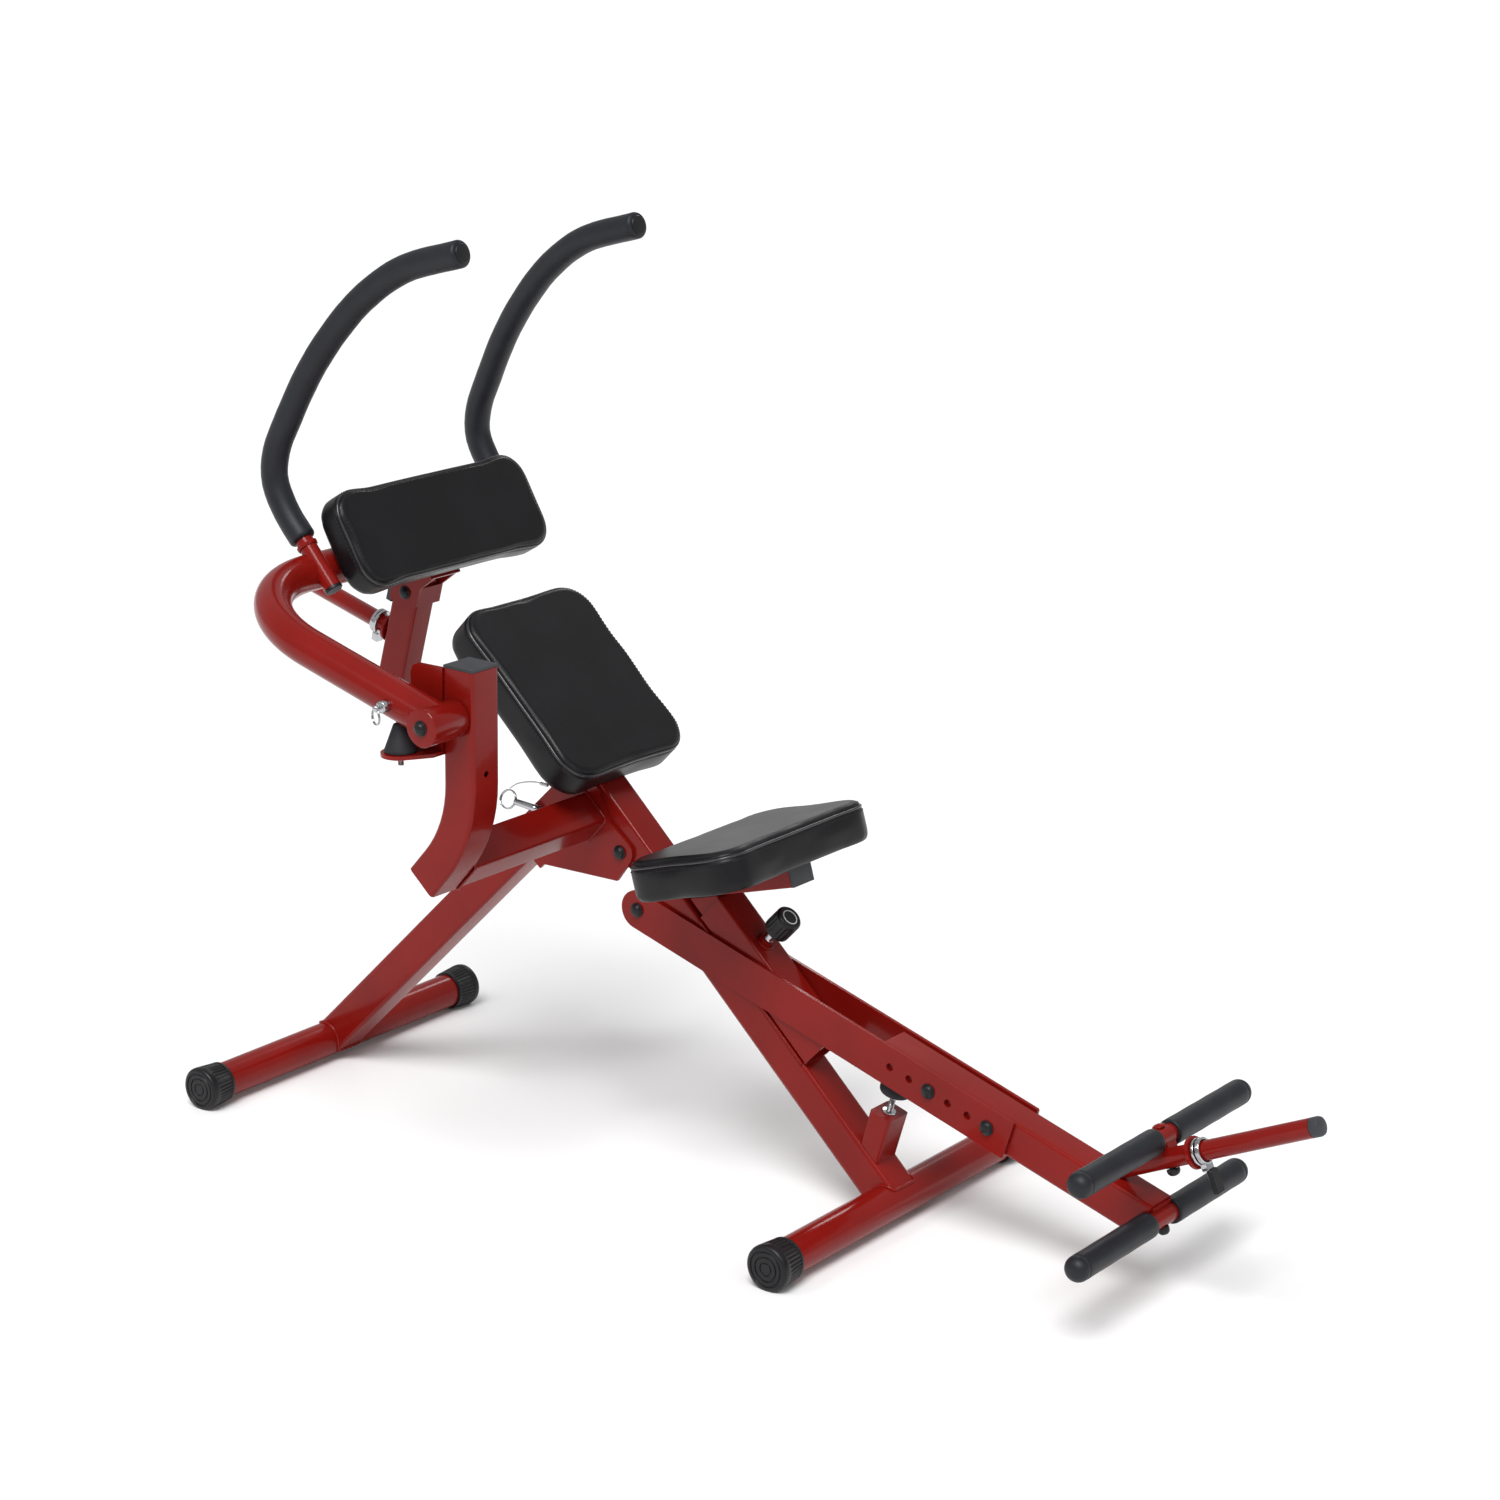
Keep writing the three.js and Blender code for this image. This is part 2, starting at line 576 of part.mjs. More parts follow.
function buildArmBolt() {
  add(bench, 'arm_pivot_bolt',
    cappedBolt(ARM_BOLT_R, ARM_HOUSING[0] - GAP, UPRIGHT_Y + HALF + GAP, 9.5, 8), PLASTIC,
    [ARM_PIVOT[0], 0, ARM_PIVOT[1]]);
}

// cross pin of the fold, bent into a handle that carries a split ring
function buildLockPin() {
  const y = HALF + PLATE_T + 2 * GAP;
  const corners = [new THREE.Vector3(0, y + 9, 0), new THREE.Vector3(0, -y - 8, 0),
    new THREE.Vector3(-36, -y - 11, 5)];
  const stem = sweep(circle(LOCK_R, 12), new Route(filletStations(corners, 7, 3)));
  const ring = new THREE.TorusGeometry(13, 1.7, 6, 16);
  ring.rotateX(deg(68)).translate(-47.5, -y - 12, 6.5);
  add(bench, 'lock_pin', join(stem, ring), CHROME, [LOCK_HOLE[0], 0, LOCK_HOLE[1]]);
}

// wire lanyard from the ring to its crimp on the fold plate
function buildLanyard() {
  const points = [[393, -45, 494], [405, -44, 502], [422, -41, 507], [438, -37, 508],
    [449, -34.5, 506]].map((p) => new THREE.Vector3(...p));
  const wire = sweep(circle(1.1, 6), smoothRoute(points, 10));
  const crimp = rod(2.6, 0, 14, 8).rotateY(deg(93)).translate(446, -34.8, 506.4);
  add(bench, 'lock_lanyard', join(wire, crimp), STEEL);
}

// ---------------------------------------------------------------- swinging arm
function armCorners() {
  return [new THREE.Vector3(ARM_PIVOT[0], ARM_Y, ARM_PIVOT[1]),
    new THREE.Vector3(ARM_CROSS[0], ARM_Y, ARM_CROSS[1]),
    new THREE.Vector3(ARM_CROSS[0], ARM_END_Y, ARM_CROSS[1])];
}

function handlePoints(side) {
  return HANDLE_LINE.map(([x, z, y]) => new THREE.Vector3(x, side * y, z));
}

function armPinPoint() {
  const along = 66;
  const rise = Math.atan2(ARM_CROSS[1] - ARM_PIVOT[1], ARM_PIVOT[0] - ARM_CROSS[0]);
  return [ARM_PIVOT[0] - along * Math.cos(rise), ARM_PIVOT[1] + along * Math.sin(rise)];
}

function buildArmTube() {
  const stations = filletStations(armCorners(), ARM_BEND, 12);
  const outer = toSolid(sweep(circle(ROUND, 24), new Route(stations)));
  const bored = stations.map(({ point, tangent }) => ({ point: point.clone(), tangent }));
  bored[0].point.addScaledVector(bored[0].tangent, ROUND + 2);
  bored[bored.length - 1].point.y += 10;
  const inner = toSolid(sweep(circle(ROUND - WALL, 14), new Route(bored)));
  const housing = toSolid(rodY(ROUND, ...ARM_HOUSING, ...ARM_PIVOT, 24));
  const bolt = toSolid(rodY(ARM_BOLT_R + GAP, -460, -300, ...ARM_PIVOT));
  const [px, pz] = armPinPoint();
  const pin = toSolid(rodY(4.4, -460, ARM_Y, px, pz, 12));
  let body = outer.add(housing).subtract(inner).subtract(bolt).subtract(pin);
  for (const side of [-1, 1]) {
    const through = smoothRoute(handlePoints(side), 3, 0, 0.16);
    through.stations[0].point.addScaledVector(through.stations[0].tangent, -14);
    body = body.subtract(toSolid(sweep(circle(HANDLE_R + 2 * GAP, 12), through)));
  }
  add(bench, 'arm_tube', toGeometry(body), RED);
}

function buildHandle(name, side) {
  const route = smoothRoute(handlePoints(side), 18);
  add(bench, `handle_${name}`, sweep(ringSection(HANDLE_R, HANDLE_R - 2, 14, 8), route), RED);
  const wrap = new Route(route.stations.slice(2));
  const grip = sweep(ringSection(GRIP_R, HANDLE_R + 3 * GAP, 16, 12), wrap);
  add(bench, `grip_${name}`, grip, FOAM);
  const base = route.stations[0];
  const plug = turned([[0, -5], [11, -5], [12.6, -3.5], [12.6, -GAP], [9.2, -GAP], [9.2, 9], [0, 9]], 16);
  plug.applyQuaternion(new THREE.Quaternion()
    .setFromUnitVectors(new THREE.Vector3(0, 0, 1), base.tangent));
  add(bench, `handle_plug_${name}`, plug, PLASTIC, base.point.toArray());
}

// post under the arm, with the weight peg that points back and up
function buildArmPost() {
  const bolt = rodY(6.4, -60, 60, ...PAD_BOLT, 16);
  const under = rodY(ROUND + GAP, -60, 60, ...toLocal(post, ARM_CROSS), 28);
  const tube = prism(tubeSection(...POST_SIZE, WALL, 4), -POST_LEN, 30);
  add(post, 'arm_post', cut(tube, under, bolt), RED);
  const start = POST_SIZE[0] / 2 + GAP;
  const end = start + ARM_PEG_LEN;
  const peg = turned([[0, start], [PEG_R, start], [PEG_R, start + 4], [PEG_R + 8, start + 4],
    [PEG_R + 8, start + 9], [PEG_R, start + 9], [PEG_R, end - 2], [PEG_R - 2, end],
    [0, end]], 20);
  add(post, 'arm_peg', peg.rotateY(-Math.PI / 2), RED, [0, 0, ARM_PEG_DROP]);
}

// spring collar: a ring with a lug on its lower side
function collar(thickness, drop) {
  const ring = turned([[PEG_R + 0.6, 0], [PEG_R + 5, 0], [PEG_R + 5, thickness],
    [PEG_R + 0.6, thickness], [PEG_R + 0.6, 0]], 20);
  const lug = box(PEG_R + 3, PEG_R + 3 + drop, -9, 9, 0.5, thickness + 8);
  return join(ring, lug);
}

function buildCollars() {
  const upper = collar(11, 14).rotateZ(Math.PI).translate(0, 0, POST_SIZE[0] / 2 + 22)
    .rotateY(-Math.PI / 2);
  add(post, 'arm_collar', upper, CHROME, [0, 0, ARM_PEG_DROP]);
  const lower = collar(12, 38).translate(0, 0, 136).rotateY(deg(90 - FOOT_PEG_RISE));
  add(bench, 'foot_collar', lower, CHROME, [FOOT_PEG_AT[0], 0, FOOT_PEG_AT[1]]);
}

// forked bracket round the post: two cheeks, a front web and a flange behind the pad
function buildPadBracket() {
  const inner = POST_SIZE[1] / 2 + GAP;
  const front = POST_SIZE[0] / 2 + GAP;
  const outer = inner + BRACKET_T;
  const pad = [[49.5, 29], [19.3, 58.2]];
  const cheek = outline([[front + BRACKET_T, -26], [front + BRACKET_T, 2], pad[0], pad[1],
    [16, 48], [20, 30], [10, 12], [-front, 12], [-front, -34], [14, -34]]);
  const cheeks = [[-outer, -inner], [inner, outer]].map(([a, b]) => prismY(cheek, a, b));
  const web = box(front, front + BRACKET_T, -outer, outer, -26, 2);
  head.updateMatrixWorld(true);
  const toPost = post.matrixWorld.clone().invert().multiply(head.matrixWorld);
  const flange = box(28, 70, -30, 30, -HEAD_SIZE[2] - GAP - BRACKET_T, -HEAD_SIZE[2] - GAP)
    .applyMatrix4(toPost);
  const behind = box(-200, 200, -60, 60, -HEAD_SIZE[2] - GAP, 60).applyMatrix4(toPost);
  const clear = rodY(ROUND + 2, -60, 60, ...toLocal(post, ARM_CROSS), 28);
  const bolt = rodY(6.4, -60, 60, ...PAD_BOLT, 16);
  const body = toSolid(cheeks[0]).add(toSolid(cheeks[1])).add(toSolid(web))
    .add(toSolid(flange)).subtract(toSolid(behind)).subtract(toSolid(clear))
    .subtract(toSolid(bolt));
  add(post, 'pad_bracket', toGeometry(body), RED);
  const plug = box(-front - 10, -front, -inner + 0.6, inner - 0.6, -41, -9);
  add(post, 'bracket_plug', plug, PLUG);
  add(post, 'bracket_bolt', cappedBolt(6, -outer - GAP, outer + GAP, 9, 7), PLASTIC,
    [PAD_BOLT[0], 0, PAD_BOLT[1]]);
}

function buildHeadPad() {
  const pad = padSolid(HEAD_SIZE[1], HEAD_SIZE[0], HEAD_SIZE[2], 40);
  add(head, 'head_pad', pad, VINYL, [0, 0, -HEAD_SIZE[2]]);
}

// ring pull pin in the arm's long leg
function buildArmLockPin() {
  const [x, z] = armPinPoint();
  const stem = turned([[0, -24], [3, -24], [4.5, -22], [4.5, -18.5], [2.6, -18], [2.6, -14],
    [7.5, -13], [7.5, -GAP - 1], [4, -GAP - 1], [4, 40], [0, 40]], 12).rotateX(-Math.PI / 2);
  const ring = new THREE.TorusGeometry(10.5, 1.3, 6, 14);
  ring.rotateX(Math.PI / 2).rotateZ(deg(20)).translate(0, -20.5, -9.5);
  add(bench, 'arm_lock_pin', join(stem, ring), CHROME, [x, ARM_Y - ROUND, z]);
}

// ---------------------------------------------------------------- leg lever
function buildLever() {
  const lever = frameAt(LEVER_PIVOT, LEVER_DROP);
  const shape = new THREE.Shape();
  shape.moveTo(LEVER_PLATE_END, -LEVER_PLATE_H + 2);
  shape.lineTo(LEVER_PLATE_END, LEVER_PLATE_H - 2);
  shape.lineTo(LEVER_PLATE_END - 2, LEVER_PLATE_H);
  shape.absarc(0, 0, LEVER_PLATE_H, Math.PI / 2, 1.5 * Math.PI, false);
  shape.lineTo(LEVER_PLATE_END - 2, -LEVER_PLATE_H);
  const holes = LEVER_HOLES.map((x) => rodY(LEVER_HOLE_R, -60, 60, x, 0, 12));
  const pivot = rodY(6.4, -60, 60, 0, 0);
  for (const [name, side] of [['right', -1], ['left', 1]]) {
    const a = side * (HALF + 2 * GAP);
    const b = side * (HALF + 2 * GAP + LEVER_PLATE_T);
    const section = new THREE.Shape(shape.getPoints(8));
    const plate = prismY(section, Math.min(a, b), Math.max(a, b));
    add(lever, `lever_plate_${name}`, cut(plate, pivot, ...holes), RED);
  }
  const tube = prism(tubeSection(TUBE, TUBE), EXT_START, EXT_END).rotateY(Math.PI / 2);
  lever.updateMatrixWorld(true);
  const bar = rodY(BAR_R + GAP, -60, 60, ...toLocal(lever, LOWER_BAR), 20);
  add(lever, 'lever_extension', cut(tube, holes[2], holes[5], bar), RED);
  const out = HALF + LEVER_PLATE_T + 3 * GAP;
  add(lever, 'lever_pivot_bolt', cappedBolt(6, -out, out, 9.5, 7), PLASTIC);
  add(lever, 'extension_bolt_rear', cappedBolt(5, -out, out, 9.5, 6), PLASTIC,
    [LEVER_HOLES[2], 0, 0]);
  add(lever, 'extension_bolt_front', cappedBolt(5, -out, out, 9.5, 6), PLASTIC,
    [LEVER_HOLES[5], 0, 0]);
  return lever;
}

// bar from the lever's end that carries the upper foot bar and ends as a weight peg
function buildFootPeg(lever) {
  const tilt = deg(90 - FOOT_PEG_RISE);
  const at = [FOOT_PEG_AT[0], 0, FOOT_PEG_AT[1]];
  const axis = rod(PEG_R, -60, FOOT_PEG_LEN, 20).rotateY(tilt).translate(...at);
  const flange = rod(21, 130, 134.5, 20).rotateY(tilt).translate(...at);
  const below = box(300, EXT_END + 60, -80, 80, -200, HALF + GAP).applyMatrix4(lever.matrixWorld);
  const bolt = rod(4.4, -80, 80, 12).rotateY(-deg(FOOT_PEG_RISE)).translate(...UPPER_AT);
  const saddle = box(BAR_ALONG - 11, BAR_ALONG + 11, -10, 10, 6, 24)
    .rotateY(-deg(FOOT_PEG_RISE)).translate(...at);
  const cope = rodY(BAR_R + GAP, -60, 60, ...UPPER_BAR, 20);
  const body = toSolid(axis).add(toSolid(flange)).add(toSolid(saddle)).subtract(toSolid(cope))
    .subtract(toSolid(below)).subtract(toSolid(bolt));
  add(bench, 'foot_peg', toGeometry(body), RED);
  const plug = turned([[0, FOOT_PEG_LEN + GAP], [PEG_R - 0.4, FOOT_PEG_LEN + GAP],
    [PEG_R - 0.4, FOOT_PEG_LEN + 10], [PEG_R - 2.5, FOOT_PEG_LEN + 14],
    [0, FOOT_PEG_LEN + 15]], 20).rotateY(tilt);
  add(bench, 'foot_peg_plug', plug, PLUG, at);
}

// upper foot bar, held on the peg by a bolt with a black cap below
function buildUpperBar() {
  const reach = ROLLER_OUT - 10;
  const bolt = rod(4.4, -80, 80, 12).rotateY(-deg(FOOT_PEG_RISE)).translate(...UPPER_AT);
  add(bench, 'upper_foot_bar', cut(rodY(BAR_R, -reach, reach, ...UPPER_BAR, 20), bolt), RED);
  const low = -BAR_DROP - PEG_R - GAP;
  const screw = turned([[0, low - 9], [6, low - 8], [8.5, low - 4], [8.5, low], [4, low],
    [4, BAR_R + GAP], [8, BAR_R + GAP], [7, BAR_R + 3.5], [0, BAR_R + 5]], 14);
  add(bench, 'upper_bar_bolt', screw.rotateY(-deg(FOOT_PEG_RISE)), PLASTIC, UPPER_AT);
}

// lower foot bar across the end of the lever, on a block that closes its tube
function buildLowerBar(lever) {
  const reach = ROLLER_OUT - 10;
  const bar = rodY(BAR_R, -reach, reach, ...LOWER_BAR, 20);
  const fill = HALF - WALL - GAP;
  const block = box(EXT_END - 22, EXT_END + 3, -fill + 1, fill - 1, -fill + 1, fill - 1)
    .applyMatrix4(lever.matrixWorld);
  add(bench, 'lower_foot_bar', join(bar, block), RED);
}

function buildRoller(name, [x, z], start, side) {
  const inner = BAR_R + GAP;
  const tip = ROLLER_OUT - start;
  const cup = turned([[0, tip], [7, tip - 1], [12.5, tip - 4], [16, tip - 9], [ROLLER_R, tip - 15],
    [ROLLER_R, 1.5], [ROLLER_R - 1.5, 0], [inner, 0], [inner, tip - 9], [0, tip - 9]], 18);
  cup.rotateX(side > 0 ? -Math.PI / 2 : Math.PI / 2);
  add(bench, name, cup, FOAM, [x, side * start, z]);
}

// ---------------------------------------------------------------- assembly
buildMainTube();
buildLockStub();
buildReceiver();
buildLeverStop();
buildBackPad();
buildFoldBolt();
buildSeat();
buildSeatPin();
buildRearLeg();
buildFoldPlates();
buildCrossTube();
buildUpright();
buildArmStop();
buildArmBolt();
buildLockPin();
buildLanyard();
buildArmTube();
buildHandle('right', -1);
buildHandle('left', 1);
buildArmPost();
buildCollars();
buildPadBracket();
buildHeadPad();
buildArmLockPin();
const lever = buildLever();
buildFootPeg(lever);
buildUpperBar();
buildLowerBar(lever);
buildRoller('roller_upper_right', UPPER_BAR, UPPER_IN, -1);
buildRoller('roller_upper_left', UPPER_BAR, UPPER_IN, 1);
buildRoller('roller_lower_right', LOWER_BAR, LOWER_IN, -1);
buildRoller('roller_lower_left', LOWER_BAR, LOWER_IN, 1);

// the origin is the middle of the base, on the floor
const extent = new THREE.Box3().setFromObject(bench, true);
bench.position.set(-(extent.min.x + extent.max.x) / 2, -(extent.min.y + extent.max.y) / 2, 0);

export default bench;
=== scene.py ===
"""Looks for a semi-recumbent abdominal bench: upholstery, foam, enamel and hardware."""
import json
import math
import random

import bmesh
import bpy
from mathutils import Matrix, Quaternion, Vector
from mathutils.bvhtree import BVHTree


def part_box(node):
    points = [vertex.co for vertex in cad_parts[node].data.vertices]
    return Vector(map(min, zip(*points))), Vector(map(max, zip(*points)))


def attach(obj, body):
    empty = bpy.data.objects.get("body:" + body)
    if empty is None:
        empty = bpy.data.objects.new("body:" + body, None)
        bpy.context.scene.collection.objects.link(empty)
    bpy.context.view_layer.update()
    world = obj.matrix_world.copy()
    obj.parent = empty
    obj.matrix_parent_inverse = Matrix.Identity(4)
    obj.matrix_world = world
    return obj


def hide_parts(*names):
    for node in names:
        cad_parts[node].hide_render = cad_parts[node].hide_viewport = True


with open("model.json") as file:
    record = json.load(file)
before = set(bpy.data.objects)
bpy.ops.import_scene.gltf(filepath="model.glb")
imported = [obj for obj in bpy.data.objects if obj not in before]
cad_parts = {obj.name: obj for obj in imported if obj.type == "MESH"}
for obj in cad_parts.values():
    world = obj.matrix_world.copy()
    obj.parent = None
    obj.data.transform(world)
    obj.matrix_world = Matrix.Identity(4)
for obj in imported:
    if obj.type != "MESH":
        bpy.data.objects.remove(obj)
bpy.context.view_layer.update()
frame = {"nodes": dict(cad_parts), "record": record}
random.seed(7)

# ------------------------------------------------------------------ frame of the bench, in mm
_low, _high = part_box("rear_foot")
BASE = Vector(((_low[0] + _high[0]) / 2, (_low[1] + _high[1]) / 2, 0.0))
SLOPE = 44.0


def at(x, y, z):
    """A point of the bench's own frame, in mm, as metres in the row frame."""
    return BASE + Vector((x, y, z)) / 1000.0


def turn_y(angle):
    return Matrix.Rotation(math.radians(angle), 3, "Y")


# ------------------------------------------------------------------ materials
def new_material(name, color, metal, coat, sheen, specular):
    mat = bpy.data.materials.new(name)
    mat.use_nodes = True
    shader = mat.node_tree.nodes["Principled BSDF"]
    shader.inputs["Metallic"].default_value = metal
    shader.inputs["Coat Weight"].default_value = coat
    shader.inputs["Coat Roughness"].default_value = 0.07
    shader.inputs["Specular IOR Level"].default_value = specular
    shader.inputs["Sheen Weight"].default_value = sheen
    mat.diffuse_color = (*color, 1)
    return mat, mat.node_tree, shader


def link(tree, a, out, b, into):
    tree.links.new(a.outputs[out], b.inputs[into])


def mottle(tree, shader, color, rough, scale, spread, rough_spread):
    """Colour and roughness that drift a little over the surface."""
    place = tree.nodes.new("ShaderNodeTexCoord")
    noise = tree.nodes.new("ShaderNodeTexNoise")
    noise.inputs["Scale"].default_value = scale
    noise.inputs["Detail"].default_value = 5
    link(tree, place, "Object", noise, "Vector")
    ramp = tree.nodes.new("ShaderNodeValToRGB")
    ramp.color_ramp.elements[0].position = 0.3
    ramp.color_ramp.elements[1].position = 0.72
    ramp.color_ramp.elements[0].color = (*[c * (1 - spread) for c in color], 1)
    ramp.color_ramp.elements[1].color = (*[min(c * (1 + spread), 1) for c in color], 1)
    link(tree, noise, "Fac", ramp, "Fac")
    link(tree, ramp, "Color", shader, "Base Color")
    span = tree.nodes.new("ShaderNodeMapRange")
    span.inputs["To Min"].default_value = max(rough - rough_spread, 0.02)
    span.inputs["To Max"].default_value = rough + rough_spread
    link(tree, noise, "Fac", span, "Value")
    link(tree, span, "Result", shader, "Roughness")
    return place


def bump(tree, shader, place, kind, scale, strength, distance, before=None):
    if kind == "cells":
        tex = tree.nodes.new("ShaderNodeTexVoronoi")
        tex.feature = "DISTANCE_TO_EDGE"
        out = "Distance"
    else:
        tex = tree.nodes.new("ShaderNodeTexNoise")
        tex.inputs["Detail"].default_value = 3
        out = "Fac"
    tex.inputs["Scale"].default_value = scale
    link(tree, place, "Object", tex, "Vector")
    node = tree.nodes.new("ShaderNodeBump")
    node.inputs["Strength"].default_value = strength
    node.inputs["Distance"].default_value = distance
    link(tree, tex, out, node, "Height")
    if before:
        link(tree, before, "Normal", node, "Normal")
    link(tree, node, "Normal", shader, "Normal")
    return node


def finish_material(name, color, rough, metal=0.0, coat=0.0, sheen=0.0, spread=0.1,
                    scale=14, rough_spread=0.05, specular=0.3, bumps=()):
    mat, tree, shader = new_material(name, color, metal, coat, sheen, specular)
    place = mottle(tree, shader, color, rough, scale, spread, rough_spread)
    last = None
    for kind, size, strength, distance in bumps:
        last = bump(tree, shader, place, kind, size, strength, distance, last)
    return mat


RED = finish_material("red_enamel", (0.2, 0.0062, 0.004), 0.22, coat=0.16, spread=0.12,
                      scale=9, specular=0.14, bumps=[("noise", 260, 0.06, 0.0006)])
VINYL = finish_material("black_vinyl", (0.005, 0.005, 0.0062), 0.34, spread=0.25,
                        scale=11, rough_spread=0.06, specular=0.24,
                        bumps=[("noise", 60, 0.10, 0.002), ("cells", 900, 0.14, 0.0004)])
PIPING = finish_material("black_piping", (0.014, 0.014, 0.017), 0.24, spread=0.2, scale=60,
                         specular=0.7,
                         bumps=[("cells", 1200, 0.1, 0.0003)])
THREAD = finish_material("black_thread", (0.03, 0.03, 0.033), 0.7, spread=0.3, scale=300,
                         bumps=[("noise", 2500, 0.3, 0.0003)])
FOAM = finish_material("black_foam", (0.0085, 0.0095, 0.0135), 0.46, spread=0.22,
                       scale=30, rough_spread=0.06, specular=0.34,
                       bumps=[("noise", 1500, 0.22, 0.0006), ("noise", 90, 0.08, 0.001)])
PLASTIC = finish_material("black_plastic", (0.007, 0.007, 0.0085), 0.38, spread=0.2, scale=40,
                          bumps=[("noise", 700, 0.08, 0.0004)])
PLUG = finish_material("grey_plug", (0.04, 0.042, 0.047), 0.5, spread=0.14, scale=50,
                       bumps=[("noise", 900, 0.12, 0.0004)])
RUBBER = finish_material("black_rubber", (0.018, 0.018, 0.021), 0.66, spread=0.2, scale=40,
                         bumps=[("noise", 500, 0.1, 0.0005)])
CHROME = finish_material("chrome_steel", (0.5, 0.51, 0.53), 0.12, metal=1.0, spread=0.04,
                         scale=30, rough_spread=0.03, bumps=[("noise", 300, 0.02, 0.0003)])
ZINC = finish_material("zinc_steel", (0.5, 0.51, 0.53), 0.34, metal=1.0, spread=0.08, scale=50,
                       bumps=[("noise", 800, 0.06, 0.0003)])
MARK = finish_material("pale_ring", (0.55, 0.56, 0.57), 0.5, spread=0.06, scale=60,
                       bumps=[("noise", 600, 0.05, 0.0002)])
BY_SLOT = {"red_enamel": RED, "black_vinyl": VINYL, "black_foam": FOAM,
           "black_plastic": PLASTIC, "grey_plug": PLUG, "black_rubber": RUBBER,
           "chrome_steel": CHROME, "zinc_steel": ZINC}


# ------------------------------------------------------------------ mesh helpers
def sharpen(mesh, limit=38):
    """Smooth shading with sharp edges where faces meet at more than the limit."""
    bm = bmesh.new()
    bm.from_mesh(mesh)
    bmesh.ops.recalc_face_normals(bm, faces=bm.faces)
    for face in bm.faces:
        face.smooth = True
    for edge in bm.edges:
        if len(edge.link_faces) == 2:
            edge.smooth = edge.calc_face_angle(0) < math.radians(limit)
    bm.to_mesh(mesh)
    bm.free()


def piece(name, verts, faces, mat, body, replaces=(), limit=38):
    mesh = bpy.data.meshes.new(name)
    mesh.from_pydata([tuple(v) for v in verts], [], faces)
    sharpen(mesh, limit)
    obj = bpy.data.objects.new(name, mesh)
    bpy.context.scene.collection.objects.link(obj)
    mesh.materials.append(mat)
    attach(obj, body)
    if replaces:
        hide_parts(*replaces)
    return obj


def rings_to_faces(count, segs, closed, first, last):
    faces = []
    for k in range(count if closed else count - 1):
        a, b = k * segs, ((k + 1) % count) * segs
        for i in range(segs):
            j = (i + 1) % segs
            faces.append((a + i, a + j, b + j, b + i))
    if not closed and first:
        faces.append(tuple(reversed(range(segs))))
    if not closed and last:
        faces.append(tuple(range((count - 1) * segs, count * segs)))
    return faces


def spin(origin, axis, profile, segs=48, ribs=None, floor=None):
    """Vertices and faces of a solid of revolution: profile is [(radius, height)] in mm."""
    axis = Vector(axis).normalized()
    side = axis.orthogonal().normalized()
    if abs(axis.z) < 0.9:
        side = Vector((0, 0, 1)) - axis * axis.z
        side.normalize()
    other = axis.cross(side)
    verts = []
    for radius, height in profile:
        for i in range(segs):
            a = 2 * math.pi * i / segs
            r = max(radius, 0.01)
            if ribs and ribs[2] <= height <= ribs[3]:
                r -= ribs[1] * (0.5 - 0.5 * math.cos(a * ribs[0]))
            v = origin + (side * math.cos(a) + other * math.sin(a)) * r / 1000 + axis * height / 1000
            if floor is not None:
                v.z = max(v.z, floor)
            verts.append(v)
    return verts, rings_to_faces(len(profile), segs, False, True, True)


def frames_along(points):
    """Tangents and carried side vectors along a list of points."""
    count = len(points)
    tangents = []
    for i in range(count):
        a, b = points[max(i - 1, 0)], points[min(i + 1, count - 1)]
        tangents.append((b - a).normalized())
    side = tangents[0].orthogonal().normalized()
    out = [(tangents[0], side)]
    for i in range(1, count):
        turn = tangents[i - 1].rotation_difference(tangents[i])
        side = (turn @ side)
        side = (side - tangents[i] * side.dot(tangents[i])).normalized()
        out.append((tangents[i], side))
    return out


def sweep(points, radii, segs=32, closed=False):
    """A tube through points; radii is one number or one per point, in mm."""
    if not isinstance(radii, (list, tuple)):
        radii = [radii] * len(points)
    verts = []
    for point, radius, (tangent, side) in zip(points, radii, frames_along(points)):
        other = tangent.cross(side)
        for i in range(segs):
            a = 2 * math.pi * i / segs
            verts.append(point + (side * math.cos(a) + other * math.sin(a)) * max(radius, 0.02) / 1000)
    return verts, rings_to_faces(len(points), segs, closed, True, True)


def merged(parts):
    verts, faces = [], []
    for v, f in parts:
        base = len(verts)
        verts += list(v)
        faces += [tuple(i + base for i in face) for face in f]
    return verts, faces


def slab(origin, ax, ay, az, size, radius, steps=4):
    """A block with rounded corners in its own X and Y and a softened rim."""
    lx, ly, lz = [s / 2 for s in size]
    soft = min(radius * 0.4, lz * 0.6)
    verts = []
    levels = [(-lz, soft), (-lz + soft, 0), (lz - soft, 0), (lz, soft)]
    for z, inset in levels:
        for cx, cy, start in ((1, 1, 0), (-1, 1, 90), (-1, -1, 180), (1, -1, 270)):
            for k in range(steps + 1):
                a = math.radians(start + 90 * k / steps)
                r = max(radius - inset, 0.1)
                x = cx * (lx - radius) + r * math.cos(a)
                y = cy * (ly - radius) + r * math.sin(a)
                verts.append(origin + (ax * x + ay * y + az * z) / 1000)
    return verts, rings_to_faces(4, 4 * (steps + 1), False, True, True)


